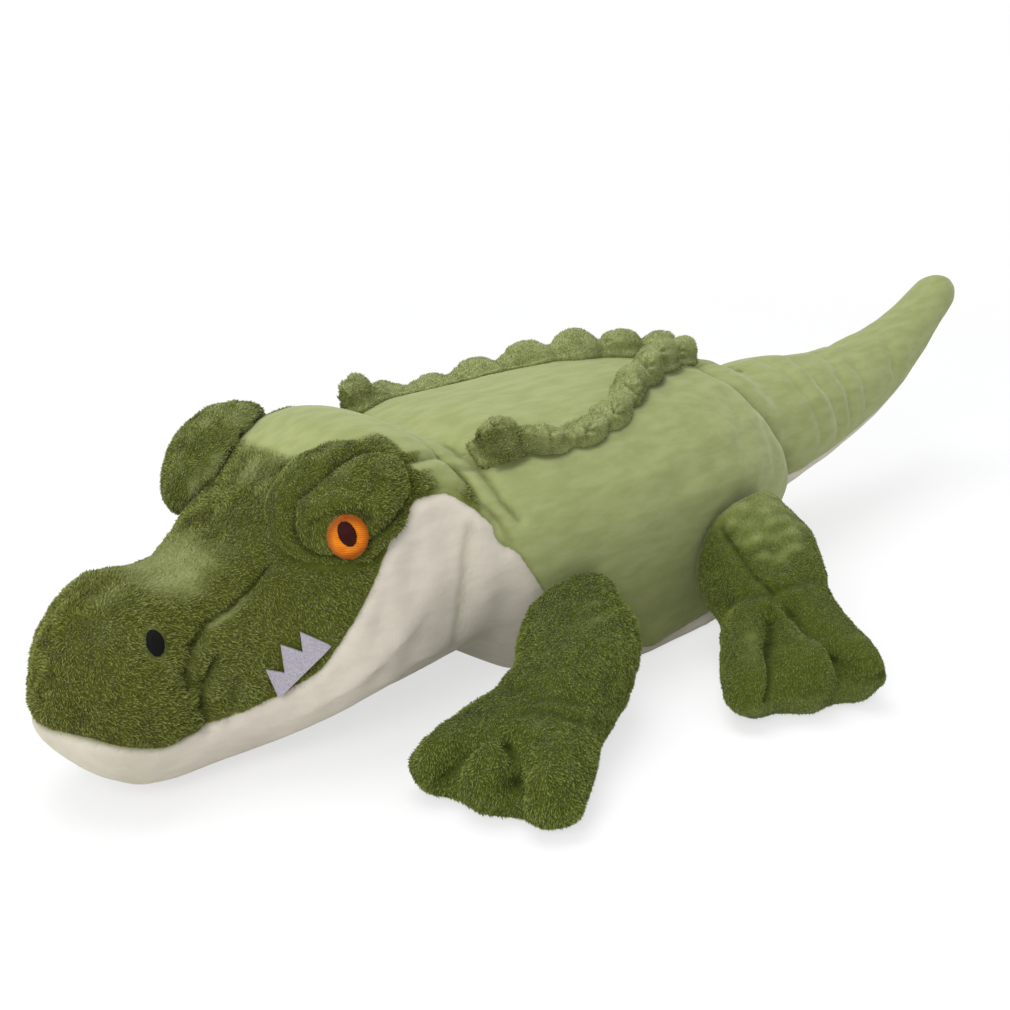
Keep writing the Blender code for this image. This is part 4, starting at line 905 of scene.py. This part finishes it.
silver = Finish("glitter_cloth")
flakes = silver.node("ShaderNodeTexVoronoi", (), {"Vector": silver.place(), "Scale": 2800}, "Color")
flake = silver.node("ShaderNodeSeparateColor", (), {0: flakes}, 0)
colour = silver.mix(flake, linear(138, 133, 142), linear(172, 167, 177))
shine = {"Strength": 0.5, "Distance": 0.0003, "Height": flake}
bump = silver.node("ShaderNodeBump", (), shine)
silver.shade(Base_Color=colour, Metallic=flake.over(0.7, 0.9) * 0.6, Roughness=0.42, Normal=bump)
for side_name in ("left", "right"):
    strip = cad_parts[f"teeth_{side_name}"].data
    strip.materials.clear()
    strip.materials.append(silver.material)


# ---------------------------------------------------------------------------------------------
# The legs. Each is a tube of deep green plush closed by a flat sole, stuffed hard, with two
# stitched dips between its three toes, and sewn to a seam in the flank, so that it can swing.

wrist = [
    [(79, -120, 31), (86, -122, 34), (90, -118, 35)],
    [(101, -130, 31), (102, -125, 31), (106, -121, 31), (113, -114, 29), (112, -106, 22)],
    [(99, -120, 34), (102, -117, 34), (108, -109, 32)],
]
fore_toes = [
    [(100, -139, 28), (97, -143, 26), (91, -147, 19), (89, -152, 12), (88, -158, 3)],
    [(106, -139, 27), (109, -140, 24), (112, -142, 18), (114, -146, 11), (116, -151, 3)],
]
dart = [
    [(60, 15, 68), (62, 14, 60), (69, 15, 53), (83, 8, 48), (93, 4, 44), (101, 2, 41), (106, 1, 40)],
]
star = [
    [(106, 1, 40), (100, -4, 37), (86, -3, 30)],
    [(106, 1, 40), (110, 10, 42), (111, 23, 41)],
]
hind_toes = [
    [(114, 1, 37), (126, -2, 32), (134, 1, 25), (139, 3, 19), (143, 3, 8)],
    [(112, -8, 33), (120, -18, 26), (130, -28, 15), (134, -31, 5)],
]
sole_seam = [
    [(108, -34, 13), (125, -36, 13), (130, -27, 13), (135, -18, 13), (141, -9, 14), (143, 4, 14)],
    [(143, 4, 14), (147, 12, 15), (148, 24, 14), (140, 34, 13)],
]
for pair, darts, folds, toes in (("foreleg", [], wrist, fore_toes), ("hindleg", dart, star, hind_toes)):
    for side_name in ("left", "right"):
        leg = f"{pair}_{side_name}"
        leg_nodes = [f"{leg}_panel", f"{leg}_sole", f"{leg}_stuffing"]
        skin = cloth_copy(f"{leg}_skin", leg_nodes, voxel=0.0026)
        points = column(skin, "co")
        lumps = ripple(points, 40, 5.0) * 0.0012
        to_body = distance_to(["flank_left_panel", "flank_right_panel", "belly_panel"], points)
        room = step(to_body, 0.002, 0.008)
        lifted = step(points[:, 2], 0.003, 0.02) * room
        to_toes = distance_to_lines(toes, points)
        plump = 0.0022 * bell(to_toes - 0.010, 0.007) * step(np.abs(points[:, 0]), 0.085, 0.1)
        move_to(skin, points + column(skin, "normal") * ((lumps + plump) * lifted)[:, None])
        pull_in(skin, to_toes, width=0.0045, depth=0.0034, shade=0.2)
        pull_in(skin, to_toes, width=0.0022, depth=0.0014, shade=1.0)
        to_folds = distance_to_lines(folds, points)
        pull_in(skin, to_folds, width=0.0045, depth=0.0022, shade=0.5)
        clumps = clump(skin, lifted * (0.9 if pair == "foreleg" else 0.6), 21.0)
        points = column(skin, "co") - column(skin, "normal") * (0.0006 * (1 - room))[:, None]
        move_to(skin, points)
        up = column(skin, "normal")[:, 2]
        if pair == "hindleg":
            behind = step(column(skin, "normal")[:, 1], 0.3, 0.9) * bell(points[:, 2] - 0.045, 0.014)
            move_to(skin, column(skin, "co") - column(skin, "normal") * (0.003 * behind)[:, None])
            pull_in(skin, distance_to_lines(darts, points), width=0.0026, depth=0.0020, shade=0.9)
            pull_in(skin, distance_to_lines(sole_seam, points), width=0.0020, depth=0.0014, shade=0.8)
            rim = 0.3 * (1 - step(points[:, 2], 0.010, 0.014)) * step(np.abs(points[:, 0]), 0.11, 0.125)
            haunch = step(points[:, 2], 0.036, 0.056) * step(points[:, 1], -0.002, 0.016)
            # painted paler where it faces up, as painted light from above, and darker round the folds,
            # as painted shade
            sage = 0.06 + 0.2 * step(up, 0.5, 1.0) + rim + 0.32 * haunch
            sage -= 0.25 * bell(to_folds, 0.011)
        else:
            tallest = points[:, 2].max()
            root = step(points[:, 2], tallest - 0.016, tallest - 0.002)
            # painted paler where it faces up, as painted light from above
            sage = 0.02 + 0.1 * step(up, 0.6, 1.0) + 0.12 * root
        # the clumps' crests are painted paler and their hollows darker: painted light and painted shade
        store(skin, "sage", np.maximum(sage + 0.45 * clumps, -0.05))
        count = len(points)
        store(skin, "cream", np.zeros(count))
        store(skin, "moss", np.ones(count))
        long = (0.95 if pair == "foreleg" else 0.75) - 0.35 * step(stored(skin, "sage"), 0.25, 0.55)
        long *= (0.3 + 0.7 * room) * (1 - 0.6 * np.clip(stored(skin, "crease_shade"), 0, 1))
        store(skin, "long", long)
        out = 1 if side_name == "left" else -1
        lay(skin, (0.5 * out, -0.35, -0.8), 0.8 if pair == "foreleg" else 0.5)

        def on_leg(piece):
            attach(piece, leg)

        open_air = (to_body > 0.003) & (points[:, 2] > FLOOR_ROOM)
        dense = open_air * (1 - 0.7 * np.clip(stored(skin, "crease_shade"), 0, 1))
        pile(f"{leg}_pile", skin, on_leg, dense)
        dress(skin, on_leg, leg_nodes)
